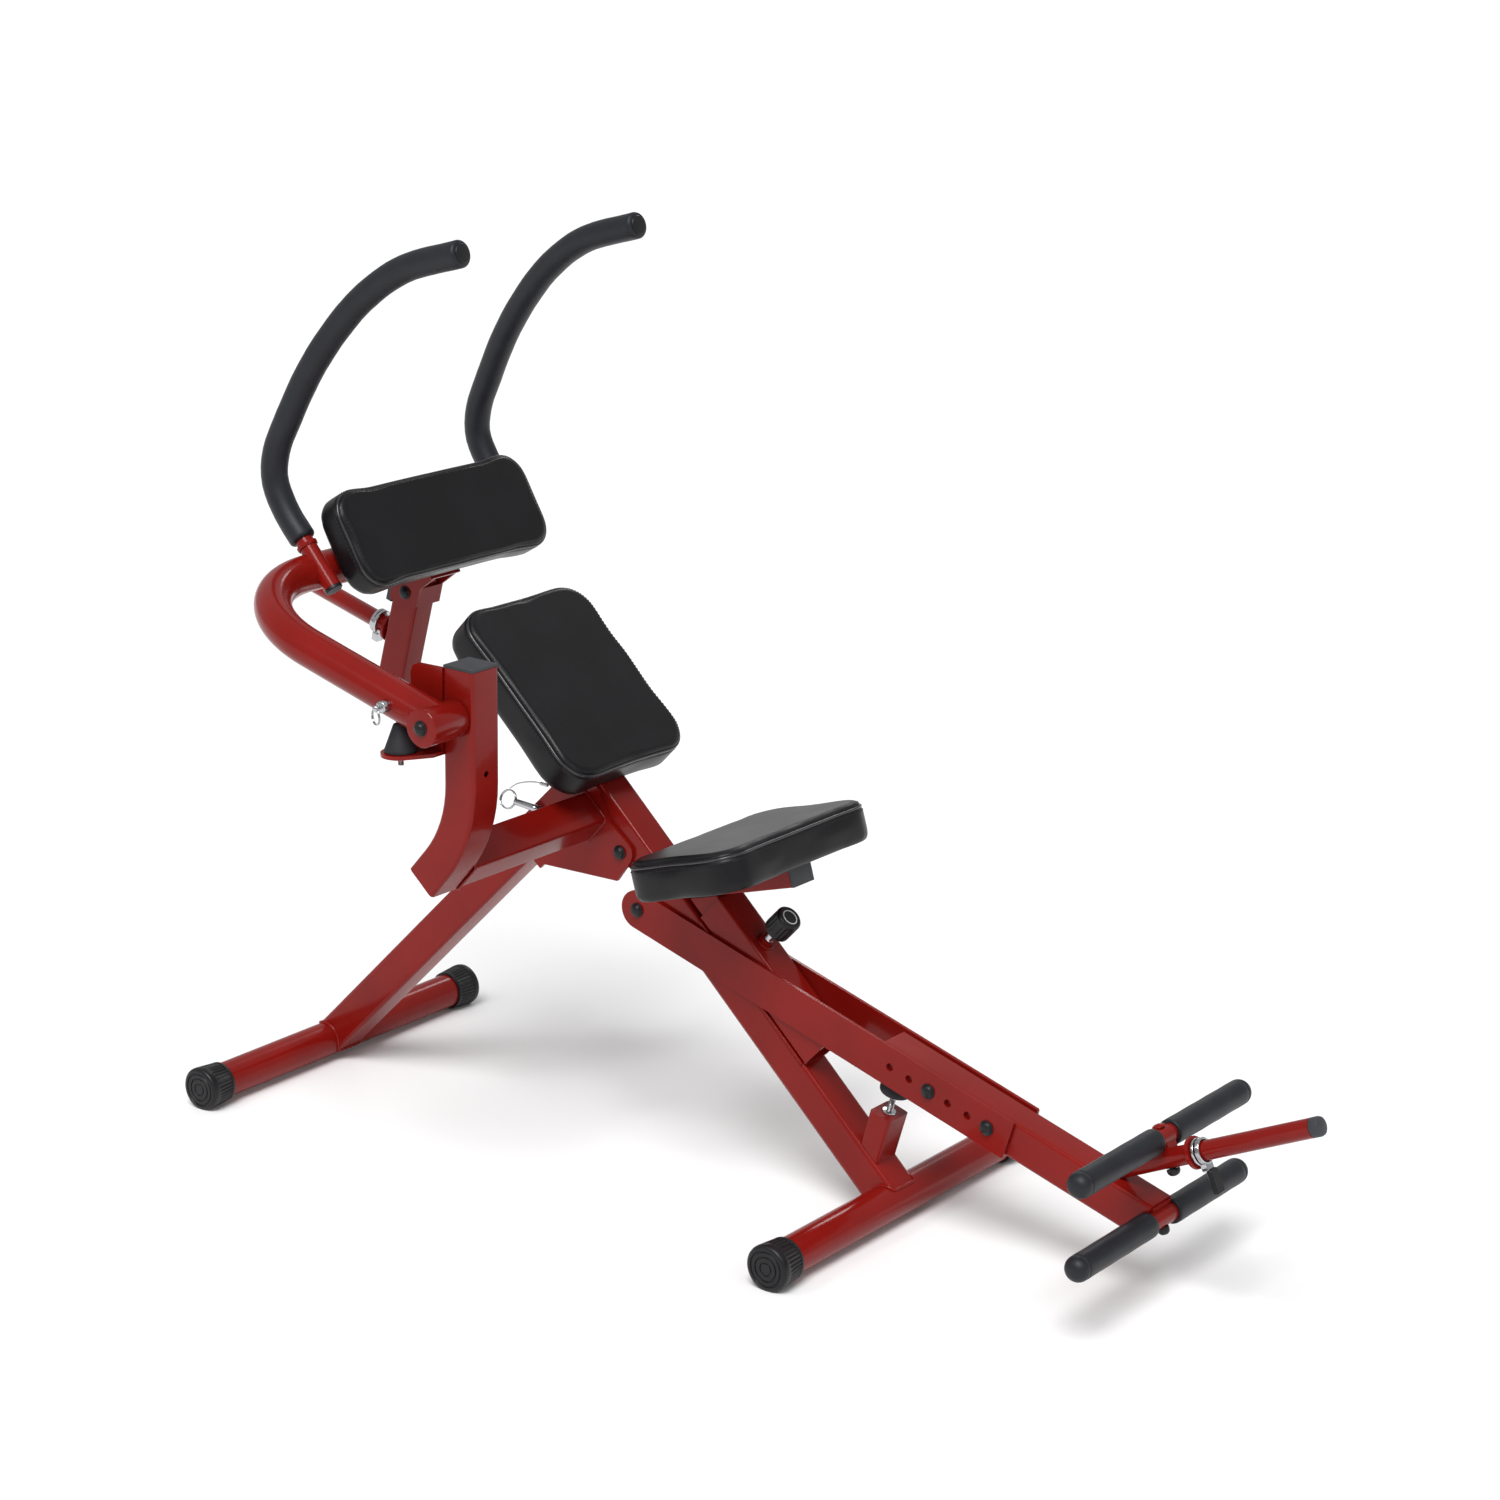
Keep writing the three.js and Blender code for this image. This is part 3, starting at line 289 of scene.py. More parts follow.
def catmull(points, samples):
    """Centripetal curve through points, sampled evenly by length."""
    pts = [points[0] * 2 - points[1]] + list(points) + [points[-1] * 2 - points[-2]]
    dense = []
    for i in range(1, len(pts) - 2):
        p0, p1, p2, p3 = pts[i - 1:i + 3]
        t = [0.0]
        for a, b in ((p0, p1), (p1, p2), (p2, p3)):
            t.append(t[-1] + max((b - a).length, 1e-6) ** 0.5)
        for k in range(24):
            u = t[1] + (t[2] - t[1]) * k / 24
            a1 = p0 * ((t[1] - u) / (t[1] - t[0])) + p1 * ((u - t[0]) / (t[1] - t[0]))
            a2 = p1 * ((t[2] - u) / (t[2] - t[1])) + p2 * ((u - t[1]) / (t[2] - t[1]))
            a3 = p2 * ((t[3] - u) / (t[3] - t[2])) + p3 * ((u - t[2]) / (t[3] - t[2]))
            b1 = a1 * ((t[2] - u) / (t[2] - t[0])) + a2 * ((u - t[0]) / (t[2] - t[0]))
            b2 = a2 * ((t[3] - u) / (t[3] - t[1])) + a3 * ((u - t[1]) / (t[3] - t[1]))
            dense.append(b1 * ((t[2] - u) / (t[2] - t[1])) + b2 * ((u - t[1]) / (t[2] - t[1])))
    dense.append(points[-1].copy())
    lengths = [0.0]
    for a, b in zip(dense, dense[1:]):
        lengths.append(lengths[-1] + (b - a).length)
    out, j = [], 0
    for k in range(samples + 1):
        want = lengths[-1] * k / samples
        while j < len(lengths) - 2 and lengths[j + 1] < want:
            j += 1
        f = (want - lengths[j]) / max(lengths[j + 1] - lengths[j], 1e-9)
        out.append(dense[j].lerp(dense[j + 1], f))
    return out


def rounded_ends(points, radius, round_len, tip=True, base=True):
    """Radii that close a tube's ends with a quarter round."""
    total = [0.0]
    for a, b in zip(points, points[1:]):
        total.append(total[-1] + (b - a).length * 1000)
    out = []
    for s in total:
        r = radius
        for on, gap in ((base, s), (tip, total[-1] - s)):
            if on and gap < round_len:
                k = 1 - gap / round_len
                r = min(r, radius - round_len * (1 - math.sqrt(max(1 - k * k, 0))))
        out.append(r)
    return out


def ends_refined(points, round_len, steps=6):
    """Adds stations near both ends, so that a quarter round has rings to use."""
    def refine(pts):
        a, b = pts[0], pts[1]
        direction = (b - a).normalized()
        extra = [a + direction * round_len / 1000 * (1 - math.cos(math.pi / 2 * k / steps))
                 for k in range(steps + 1)]
        keep = [p for p in pts[1:] if (p - a).length > round_len / 1000 * 1.05]
        return extra + keep
    points = refine(points)
    return list(reversed(refine(list(reversed(points)))))


# ------------------------------------------------------------------ carried-over CAD nodes
def angle_smoothing():
    """Node group: joins split vertices and shades smooth below an edge angle."""
    group = bpy.data.node_groups.new("angle_smoothing", "GeometryNodeTree")
    group.interface.new_socket("Geometry", in_out="INPUT", socket_type="NodeSocketGeometry")
    group.interface.new_socket("Geometry", in_out="OUTPUT", socket_type="NodeSocketGeometry")
    nodes = group.nodes
    start, end = nodes.new("NodeGroupInput"), nodes.new("NodeGroupOutput")
    merge = nodes.new("GeometryNodeMergeByDistance")
    merge.inputs["Distance"].default_value = 0.00002
    drop = nodes.new("GeometryNodeRemoveAttribute")
    drop.inputs["Name"].default_value = "custom_normal"
    faces = nodes.new("GeometryNodeSetShadeSmooth")
    edges = nodes.new("GeometryNodeSetShadeSmooth")
    edges.domain = "EDGE"
    angle = nodes.new("GeometryNodeInputMeshEdgeAngle")
    below = nodes.new("FunctionNodeCompare")
    below.data_type = "FLOAT"
    below.operation = "LESS_THAN"
    below.inputs["B"].default_value = math.radians(50)
    links = group.links
    links.new(start.outputs[0], merge.inputs["Geometry"])
    links.new(merge.outputs[0], drop.inputs["Geometry"])
    links.new(drop.outputs[0], faces.inputs["Geometry"])
    links.new(faces.outputs[0], edges.inputs["Geometry"])
    links.new(angle.outputs["Unsigned Angle"], below.inputs["A"])
    links.new(below.outputs["Result"], edges.inputs["Shade Smooth"])
    links.new(edges.outputs[0], end.inputs[0])
    return group


SMOOTHING = angle_smoothing()


def dress_node(name, mat):
    obj = frame["nodes"][name]
    for slot in obj.material_slots:
        slot.material = mat
    if not obj.material_slots:
        obj.data.materials.append(mat)
    mod = obj.modifiers.new("smoothing", "NODES")
    mod.node_group = SMOOTHING
    weighted = obj.modifiers.new("flat_faces", "WEIGHTED_NORMAL")
    weighted.keep_sharp = True


# ------------------------------------------------------------------ floor tubes
FOOT_Z = 30.0
SPREAD = 1016.0
FOOT_HALF = 272.0
TUBE_R = 25.4


def floor_stand(stand, x, body):
    origin = at(x, -FOOT_HALF, FOOT_Z)
    tube = spin(origin, (0, 1, 0), [(TUBE_R, 0), (TUBE_R, 2 * FOOT_HALF)], 64)
    piece(f"{stand}_floor_tube", *tube, RED, body, [f"{stand}_foot"])
    for side, label in ((-1, "right"), (1, "left")):
        profile = [(25.8, -32), (28.2, -32), (28.8, -31.2), (28.9, -29), (28.9, -28.5)]
        profile += [(28.9 + 2.4 * k / 8, -28 + 28 * k / 8) for k in range(9)]
        profile += [(31.4, 1.2), (31.6, 3), (31.6, 7), (31.0, 9.4), (29.4, 11.2), (26.8, 12),
                    (24.8, 12), (24.0, 10.6), (22.6, 10.6), (21.8, 12), (17.6, 12), (16.9, 10.6),
                    (15.6, 10.6), (14.9, 12), (9.6, 12), (9, 10.8), (7.8, 10.8), (7.2, 12),
                    (0, 12)]
        cap = spin(at(x, side * FOOT_HALF, FOOT_Z), (0, side, 0), profile, 144,
                   ribs=(36, 1.3, -28.2, 0.1), floor=0.0)
        piece(f"{stand}_ribbed_cap_{label}", *cap, PLASTIC, body, [f"{stand}_cap_{label}"], 50)


# ------------------------------------------------------------------ hardware
def domed_bolt(name, node, body, centre, half, radius, height, shank=5.5, axis=(0, 1, 0)):
    """A through bolt with a washer and a smooth plastic cap at each end."""
    axis = Vector(axis).normalized()
    parts = []
    dome = [(radius * math.cos(a), 1.6 + (height - 1.6) * math.sin(a))
            for a in [math.radians(7.5 * k) for k in range(13)]]
    for sign in (-1, 1):
        profile = [(0, -0.2), (radius + 1.4, -0.2), (radius + 1.6, 0.2), (radius + 1.4, 0.9),
                   (radius + 0.2, 1.2), *dome]
        parts.append(spin(centre + axis * sign * half / 1000, axis * sign, profile, 40))
    parts.append(spin(centre - axis * half / 1000, axis, [(shank, 0), (shank, 2 * half)], 24))
    piece(name, *merged(parts), PLASTIC, body, [node], 50)


def bead(name, points, body, radius=1.9, closed=True):
    """A weld bead: a lumpy fillet laid along a joint."""
    count = len(points)
    radii = [radius * (0.85 + 0.3 * abs(math.sin(k * 1.7)) + 0.1 * random.random())
             for k in range(count)]
    verts, faces = sweep(points, radii, 10, closed)
    piece(name, verts, faces, RED, body, (), 80)


def rounded_loop(origin, ax, ay, width, height, corner, gap=4.0):
    """Points round a rounded rectangle, in row-frame metres, gap mm apart."""
    pts = []
    for cx, cy, start in ((1, 1, 0), (-1, 1, 90), (-1, -1, 180), (1, -1, 270)):
        for k in range(7):
            a = math.radians(start + 15 * k)
            pts.append(Vector((cx * (width / 2 - corner) + corner * math.cos(a),
                               cy * (height / 2 - corner) + corner * math.sin(a))))
    out = []
    for i, p in enumerate(pts):
        q = pts[(i + 1) % len(pts)]
        n = max(int((q - p).length / gap), 1)
        for k in range(n):
            v = p.lerp(q, k / n)
            out.append(origin + (ax * v.x + ay * v.y) / 1000)
    return out


# ------------------------------------------------------------------ upholstery
def local_size(node, angle):
    """Centre of the lower face and size of a CAD pad, in its own tilted frame."""
    spin_back = turn_y(angle).inverted()
    pts = [spin_back @ v.co for v in frame["nodes"][node].data.vertices]
    low = Vector([min(p[i] for p in pts) for i in range(3)])
    high = Vector([max(p[i] for p in pts) for i in range(3)])
    centre = Vector(((low.x + high.x) / 2, (low.y + high.y) / 2, low.z))
    return turn_y(angle) @ centre, (high - low) * 1000


def outline_ring(length, width, corner, inset, per=10):
    pts = []
    r = max(corner - inset, 2)
    for cx, cy, start in ((1, 1, 0), (-1, 1, 90), (-1, -1, 180), (1, -1, 270)):
        for k in range(per + 1):
            a = math.radians(start + 90 * k / per)
            pts.append(Vector((cx * (length / 2 - corner) + r * math.cos(a),
                               cy * (width / 2 - corner) + r * math.sin(a))))
    return pts


def pad_start(name, size, corner, shrink):
    """Closed block that the cushion swells from: softened on top, flat below."""
    length, width, thick = size
    levels = [(0, 3.5), (2.5, 1), (6, 0), (thick * 0.7, 0), (thick * 0.9, 0),
              (thick * 0.95, 1.5), (thick * 0.98, 4), (thick, 8)]
    verts, per = [], 10
    for z, inset in levels:
        for p in outline_ring(length - 2 * shrink, width - 2 * shrink, corner, inset, per):
            verts.append(Vector((p.x, p.y, z)) / 1000)
    faces = rings_to_faces(len(levels), 4 * (per + 1), False, True, True)
    mesh = bpy.data.meshes.new(name)
    mesh.from_pydata([tuple(v) for v in verts], [], faces)
    obj = bpy.data.objects.new(name, mesh)
    bpy.context.scene.collection.objects.link(obj)
    return obj


def apply_modifiers(obj):
    deps = bpy.context.evaluated_depsgraph_get()
    mesh = bpy.data.meshes.new_from_object(obj.evaluated_get(deps))
    obj.modifiers.clear()
    old = obj.data
    obj.data = mesh
    bpy.data.meshes.remove(old)


def inflate(obj, cap):
    """Cloth under pressure for 20 frames, with a cap on how far a point may move."""
    remesh = obj.modifiers.new("remesh", "REMESH")
    remesh.mode = "VOXEL"
    remesh.voxel_size = 0.004
    apply_modifiers(obj)
    start = [v.co.copy() for v in obj.data.vertices]
    cloth = obj.modifiers.new("cloth", "CLOTH")
    cloth.settings.use_pressure = True
    cloth.settings.uniform_pressure_force = 4
    cloth.settings.effector_weights.gravity = 0
    cloth.settings.quality = 5
    cloth.settings.tension_stiffness = 25
    cloth.settings.compression_stiffness = 25
    cloth.settings.bending_stiffness = 2
    cloth.point_cache.frame_start = 1
    cloth.point_cache.frame_end = 20
    for k in range(1, 21):
        bpy.context.scene.frame_set(k)
    apply_modifiers(obj)
    bpy.context.scene.frame_set(1)
    moved = [v.co - was for v, was in zip(obj.data.vertices, start)]
    near = [[] for _ in start]
    for edge in obj.data.edges:
        near[edge.vertices[0]].append(edge.vertices[1])
        near[edge.vertices[1]].append(edge.vertices[0])
    for _ in range(24):
        moved = [sum((moved[j] for j in ring), moved[i]) / (len(ring) + 1)
                 for i, ring in enumerate(near)]
    for v, was, shift in zip(obj.data.vertices, start, moved):
        v.co = was + shift * min(1, cap / 1000 / max(shift.length, 1e-9))
    smooth = obj.modifiers.new("relax", "SMOOTH")
    smooth.factor = 0.5
    smooth.iterations = 5
    sub = obj.modifiers.new("sub", "SUBSURF")
    sub.levels = 1
    sub.render_levels = 1
    apply_modifiers(obj)


def cushion(name, node, body, angle, corner, crown, cap, seam_at, shrink=1.2):
    """An upholstered pad: crowned cover, flat back, piped seam and stitches."""
    origin, size = local_size(node, angle)
    obj = pad_start(name, size, corner, shrink)
    inflate(obj, cap)
    length, width, thick = size
    for v in obj.data.vertices:
        x, y, z = v.co * 1000
        u, w = abs(2 * x / length), abs(2 * y / width)
        dome = max(1 - u ** 3, 0) * max(1 - w ** 3, 0)
        if z > thick * 0.5:
            z += crown * dome * (z - thick * 0.5) / (thick * 0.5)
        pinch = 1.6 * math.exp(-((z - seam_at) / 3.2) ** 2)
        x *= 1 - pinch / (length / 2)
        y *= 1 - pinch / (width / 2)
        x = max(min(x, length / 2 + 2), -length / 2 - 2)
        y = max(min(y, width / 2 + 2), -width / 2 - 2)
        z = max(min(z, thick + 3), 0.4)
        v.co = Vector((x, y, z)) / 1000
    turn = turn_y(angle)
    for v in obj.data.vertices:
        v.co = turn @ v.co + origin
    for face in obj.data.polygons:
        face.use_smooth = True
    obj.data.materials.clear()
    obj.data.materials.append(VINYL)
    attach(obj, body)
    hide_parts(node)
    add_seam(name, obj, body, origin, turn, size, corner, seam_at)
    return obj


def surface_point(tree, origin, turn, p, z):
    """Where a line from outside the pad towards its middle meets the cover."""
    outer = origin + turn @ (Vector((p.x * 1.25, p.y * 1.25, z)) / 1000)
    inner = origin + turn @ (Vector((p.x * 0.3, p.y * 0.3, z)) / 1000)
    hit = tree.ray_cast(outer, (inner - outer).normalized())
    return (hit[0], hit[1]) if hit[0] else (origin + turn @ (Vector((p.x, p.y, z)) / 1000),
                                            (outer - inner).normalized())


def add_seam(name, obj, body, origin, turn, size, corner, seam_at):
    mesh = obj.data
    tree = BVHTree.FromPolygons([v.co for v in mesh.vertices], [p.vertices for p in mesh.polygons])
    length, width = size.x, size.y
    ring = outline_ring(length, width, corner, 0, 14)
    dense = []
    for i, p in enumerate(ring):
        q = ring[(i + 1) % len(ring)]
        n = max(int((q - p).length / 6), 1)
        dense += [p.lerp(q, k / n) for k in range(n)]
    line = [surface_point(tree, origin, turn, p, seam_at)[0] for p in dense]
    for _ in range(2):
        line = [(line[i - 1] + line[i] * 2 + line[(i + 1) % len(line)]) / 4
                for i in range(len(line))]
    middle = sum(line, Vector()) / len(line)
    line = [p + (p - middle).normalized() * 0.0007 for p in line]
    piece(f"{name}_piping", *sweep(line, 2.0, 10, True), PIPING, body, (), 80)
    parts = []
    for offset in (5.5, -5.5):
        for i in range(0, len(dense)):
            a, normal = surface_point(tree, origin, turn, dense[i], seam_at + offset)
            b, _ = surface_point(tree, origin, turn, dense[(i + 1) % len(dense)],
                                 seam_at + offset)
            run = b - a
            if run.length < 0.002 or run.length > 0.02:
                continue
            lift = normal * 0.0001 if normal else Vector()
            c, d = a + run * 0.2 + lift, a + run * 0.8 + lift
            mid = (c + d) / 2 + (normal * 0.0003 if normal else Vector())
            parts.append(sweep([c, mid, d], [0.2, 0.45, 0.2], 6))
    piece(f"{name}_stitches", *merged(parts), THREAD, body, (), 80)


# ------------------------------------------------------------------ swinging arm
ARM_PIVOT = (571.0, 690.0)
ARM_Y = -380.0
ARM_CROSS = (187.0, 801.0)
ARM_BEND = 170.0
ARM_END_Y = 236.0
HANDLE_LINE = [(226, 785, 208), (183, 834, 208), (141, 882, 207.5), (122, 922, 206.5),
               (126, 960, 205.5), (148, 1006, 203), (187, 1074, 198), (231, 1131, 193),
               (281, 1180, 188), (348, 1222, 183), (449, 1251, 179)]
HANDLE_R = 12.7
HANDLE_STEPS = 60
GRIP_R = 18.6
GRIP_FROM = 2 / 18              # share of the handle's length left bare below the grip
COLLAR_STEPS = 400
COLLAR_AT = 43                  # step of the red collar under the grip
POST_TOP = (187.0, 752.0)
POST_TILT = 16.0
POST_SIZE = (46.0, 38.0)
PEG_DROP = -88.0
PEG_R = 12.7


def bend_points(a, corner, b, radius, steps):
    into, out = (corner - a).normalized(), (b - corner).normalized()
    turn = into.angle(out)
    reach = radius * math.tan(turn / 2) / 1000
    axis = into.cross(out).normalized()
    start = corner - into * reach
    centre = start + axis.cross(into) * radius / 1000
    pts = []
    for k in range(steps + 1):
        spin_q = Quaternion(axis, turn * k / steps)
        pts.append(centre + spin_q @ (start - centre))
    return pts


def arm_tube():
    a = at(ARM_PIVOT[0], ARM_Y, ARM_PIVOT[1])
    corner = at(ARM_CROSS[0], ARM_Y, ARM_CROSS[1])
    b = at(ARM_CROSS[0], ARM_END_Y, ARM_CROSS[1])
    bend = bend_points(a, corner, b, ARM_BEND, 36)
    path = [a, a.lerp(bend[0], 0.5), *bend, bend[-1].lerp(b, 0.5), b]
    parts = [sweep(path, TUBE_R, 56)]
    housing = [(TUBE_R - 2.5, 0), (TUBE_R - 0.8, 0.4), (TUBE_R, 1.4), (TUBE_R, 62),
               (TUBE_R - 0.8, 63.2), (TUBE_R - 2, 63.4)]
    parts.append(spin(at(ARM_PIVOT[0], -412, ARM_PIVOT[1]), (0, 1, 0), housing, 64))
    piece("arm_bent_tube", *merged(parts), RED, "arm", ["arm_tube"])
    plug = [(TUBE_R - 0.5, 0), (TUBE_R - 0.3, 2), (TUBE_R - 1.5, 4), (TUBE_R - 5, 5), (0, 5.4)]
    piece("arm_end_plug", *spin(b, (0, 1, 0), plug, 48), PLUG, "arm")


def handle(side, label):
    pts = [at(x, side * y, z) for x, z, y in HANDLE_LINE]
    tube = catmull(pts, HANDLE_STEPS)
    piece(f"handle_tube_{label}", *sweep(tube, HANDLE_R, 36), RED, "arm", [f"handle_{label}"])
    cut = round(HANDLE_STEPS * GRIP_FROM)
    wrap = ends_refined(tube[cut:], 5.0)
    radii = rounded_ends(wrap, GRIP_R, 5.0)
    total = 0.0
    for i in range(1, len(wrap)):
        total += (wrap[i] - wrap[i - 1]).length * 1000
        radii[i] += 0.12 * math.sin(total * 0.11) + 0.08 * math.sin(total * 0.31)
    grip = piece(f"foam_grip_{label}", *sweep(wrap, radii, 44), FOAM, "arm", [f"grip_{label}"], 60)
    out = (tube[-1] - tube[-3]).normalized()
    button = [(13.2, -1.2), (13.2, 0.6), (12.4, 1.5), (8, 2.1), (0, 2.3)]
    piece(f"grip_end_button_{label}", *spin(tube[-1], out, button, 40), PLASTIC, "arm")
    down = (tube[0] - tube[2]).normalized()
    plug = [(10, -6), (10, -0.4), (12.6, 0.3), (12.8, 1.4), (12.8, 3.8), (11.6, 5), (0, 5.2)]
    piece(f"handle_end_plug_{label}", *spin(tube[0], down, plug, 40), PLASTIC, "arm",
          [f"handle_plug_{label}"])
    fine = catmull(pts, COLLAR_STEPS)
    spot = fine[COLLAR_AT]
    axis = (fine[COLLAR_AT + 3] - spot).normalized()
    ring = [(HANDLE_R, -7), (HANDLE_R + 1.6, -6.4), (HANDLE_R + 2.4, -4.5),
            (HANDLE_R + 2.4, -1.2), (HANDLE_R, -0.4)]
    piece(f"handle_collar_{label}", *spin(spot, axis, ring, 40), RED, "arm")


def post_point(x, y, z):
    v = turn_y(POST_TILT) @ Vector((x, 0, z))
    return at(POST_TOP[0] + v.x, y, POST_TOP[1] + v.z)


def weight_peg():
    rear = turn_y(POST_TILT) @ Vector((-1, 0, 0))
    start = POST_SIZE[0] / 2
    origin = post_point(0, 0, PEG_DROP)
    profile = [(PEG_R + 2.2, start + 0.3), (PEG_R + 0.6, start + 2.4), (PEG_R, start + 3.6),
               (PEG_R + 7.2, start + 4.2), (PEG_R + 8, start + 5), (PEG_R + 8, start + 8.4),
               (PEG_R + 7.2, start + 9.2), (PEG_R + 0.4, start + 9.4), (PEG_R, start + 10.4),
               (PEG_R, start + 186), (PEG_R - 0.8, start + 188.5), (PEG_R - 2.6, start + 190),
               (0, start + 190.3)]
    piece("arm_weight_peg", *spin(origin, rear, profile, 56), RED, "arm", ["arm_peg"])
    collar = [(PEG_R + 0.5, start + 22), (PEG_R + 4.4, start + 22), (PEG_R + 5.2, start + 23),
              (PEG_R + 5.2, start + 26.6), (PEG_R + 4.2, start + 27.5),
              (PEG_R + 5.2, start + 28.4), (PEG_R + 5.2, start + 32), (PEG_R + 4.4, start + 33),
              (PEG_R + 0.5, start + 33)]
    down = turn_y(POST_TILT) @ Vector((0, 0, -1))
    lug = slab(origin + rear * (start + 27.5) / 1000 + down * (PEG_R + 10) / 1000,
               Vector((0, 1, 0)), down, rear, (16, 15, 11), 3)
    piece("arm_spring_collar", *merged([spin(origin, rear, collar, 56), lug]), CHROME,
          "arm_collar", ["arm_collar"])


# ------------------------------------------------------------------ leg lever
LEVER_PIVOT = (606.0, 356.0)
LEVER_DROP = 17.2
FOOT_PEG_AT = (1344.0, 152.4)
FOOT_PEG_RISE = 24.3
LOWER_BAR = (1416.5, 107.0)
UPPER_BAR = (1417.0, 215.5)
ROLLER_R = 17.0


def lever_point(x, y, z):
    v = turn_y(LEVER_DROP) @ Vector((x, 0, z))
    return at(LEVER_PIVOT[0] + v.x, y, LEVER_PIVOT[1] + v.z)


def foam_roller(name, bar, side, inner):
    origin = at(bar[0], side * inner, bar[1])
    length = 204 - inner
    profile = [(13.2, 0.2), (15.4, 0), (16.6, 0.8), (ROLLER_R, 2.4)]
    for k in range(1, 24):
        h = 2.4 + (length - 18.4) * k / 24
        profile.append((ROLLER_R + 0.12 * math.sin(h * 0.13), h))
    profile.append((ROLLER_R, length - 16.6))
    profile.append((ROLLER_R - 0.5, length - 16.1))
    profile.append((ROLLER_R, length - 15.6))
    for k in range(1, 13):
        a = math.radians(7.5 * k)
        profile.append((ROLLER_R * math.cos(a) ** 0.8 if k < 12 else 0,
                        length - 15.4 + 15.4 * math.sin(a)))
    obj = piece(f"foam_{name}", *spin(origin, (0, side, 0), profile, 56), FOAM, name, [name], 60)


def foot_end():
    for label, bar, inner in (("upper", UPPER_BAR, 18), ("lower", LOWER_BAR, 26.5)):
        foam_roller(f"roller_{label}_right", bar, -1, inner)
        foam_roller(f"roller_{label}_left", bar, 1, inner)
    rise = math.radians(FOOT_PEG_RISE)
    along = Vector((math.cos(rise), 0, math.sin(rise)))
    up = Vector((-math.sin(rise), 0, math.cos(rise)))
    origin = at(FOOT_PEG_AT[0], 0, FOOT_PEG_AT[1])
    plug = [(10, 300), (10, 307.2), (12.4, 307.6), (12.7, 308.8), (12.7, 316.6), (11.6, 319.6),
            (8.6, 321.4), (0, 321.9)]
    piece("foot_peg_end_plug", *spin(origin, along, plug, 48), PLUG, "lever", ["foot_peg_plug"])
    ring = [(PEG_R + 0.7, 136.2), (PEG_R + 4.4, 136.2), (PEG_R + 5, 137), (PEG_R + 5, 140),
            (PEG_R + 4.4, 140.8), (PEG_R + 0.7, 140.8)]
    coil = []
    for k in range(0, 24 * 3 + 1):
        a = 2 * math.pi * k / 24
        side = up * math.cos(a) + Vector((0, 1, 0)) * math.sin(a)
        coil.append(origin + along * (142.6 + 5.2 * k / 72) / 1000 + side * (PEG_R + 2.9) / 1000)
    lug = slab(origin + along * 0.1425 - up * (PEG_R + 7) / 1000, Vector((0, 1, 0)), up, along,
               (15, 12, 10), 2.5)
    piece("foot_spring_collar", *merged([spin(origin, along, ring, 56), sweep(coil, 1.7, 10), lug]),
          CHROME, "foot_collar", ["foot_collar"])
    tab = slab(origin + along * 0.147 - up * (PEG_R + 27) / 1000, Vector((0, 1, 0)), up, along,
               (18, 33, 7.5), 4)
    piece("foot_collar_tab", *tab, PLASTIC, "foot_collar")
    bolt_at = at(UPPER_BAR[0], 0, UPPER_BAR[1])
    head = [(0, 12.6), (8.6, 12.6), (8.8, 13.6), (7.6, 15.6), (4.6, 17.2), (0, 17.8)]
    tail = [(4, 0), (4, 40.8), (8.6, 41), (8.8, 43), (8.2, 46), (6, 49), (3, 50.2), (0, 50.4)]
    piece("upper_bar_bolt_head", *spin(bolt_at, up, head, 40), RED, "lever")
    piece("upper_bar_bolt_tail", *spin(bolt_at, -up, tail, 40), PLASTIC, "lever",
          ["upper_bar_bolt"])
    for label, side in (("near", -1), ("far", 1)):
        spot = at(UPPER_BAR[0], side * 12, UPPER_BAR[1] - 14)
        bump_profile = [(5, 0), (5.4, 2), (4, 5), (0, 6.5)]
        piece(f"upper_bar_weld_{label}", *spin(spot, (0, 0.3 * side, 1), bump_profile, 20), RED,
              "lever", (), 80)
    low = at(LOWER_BAR[0] + 6, 0, LOWER_BAR[1] - 11)
    cap = [(7.6, -1), (8, 2), (7.2, 6), (4.6, 8.6), (0, 9.4)]
    piece("lower_bar_cap_nut", *spin(low, (0.35, 0, -1), cap, 32), PLASTIC, "lever")


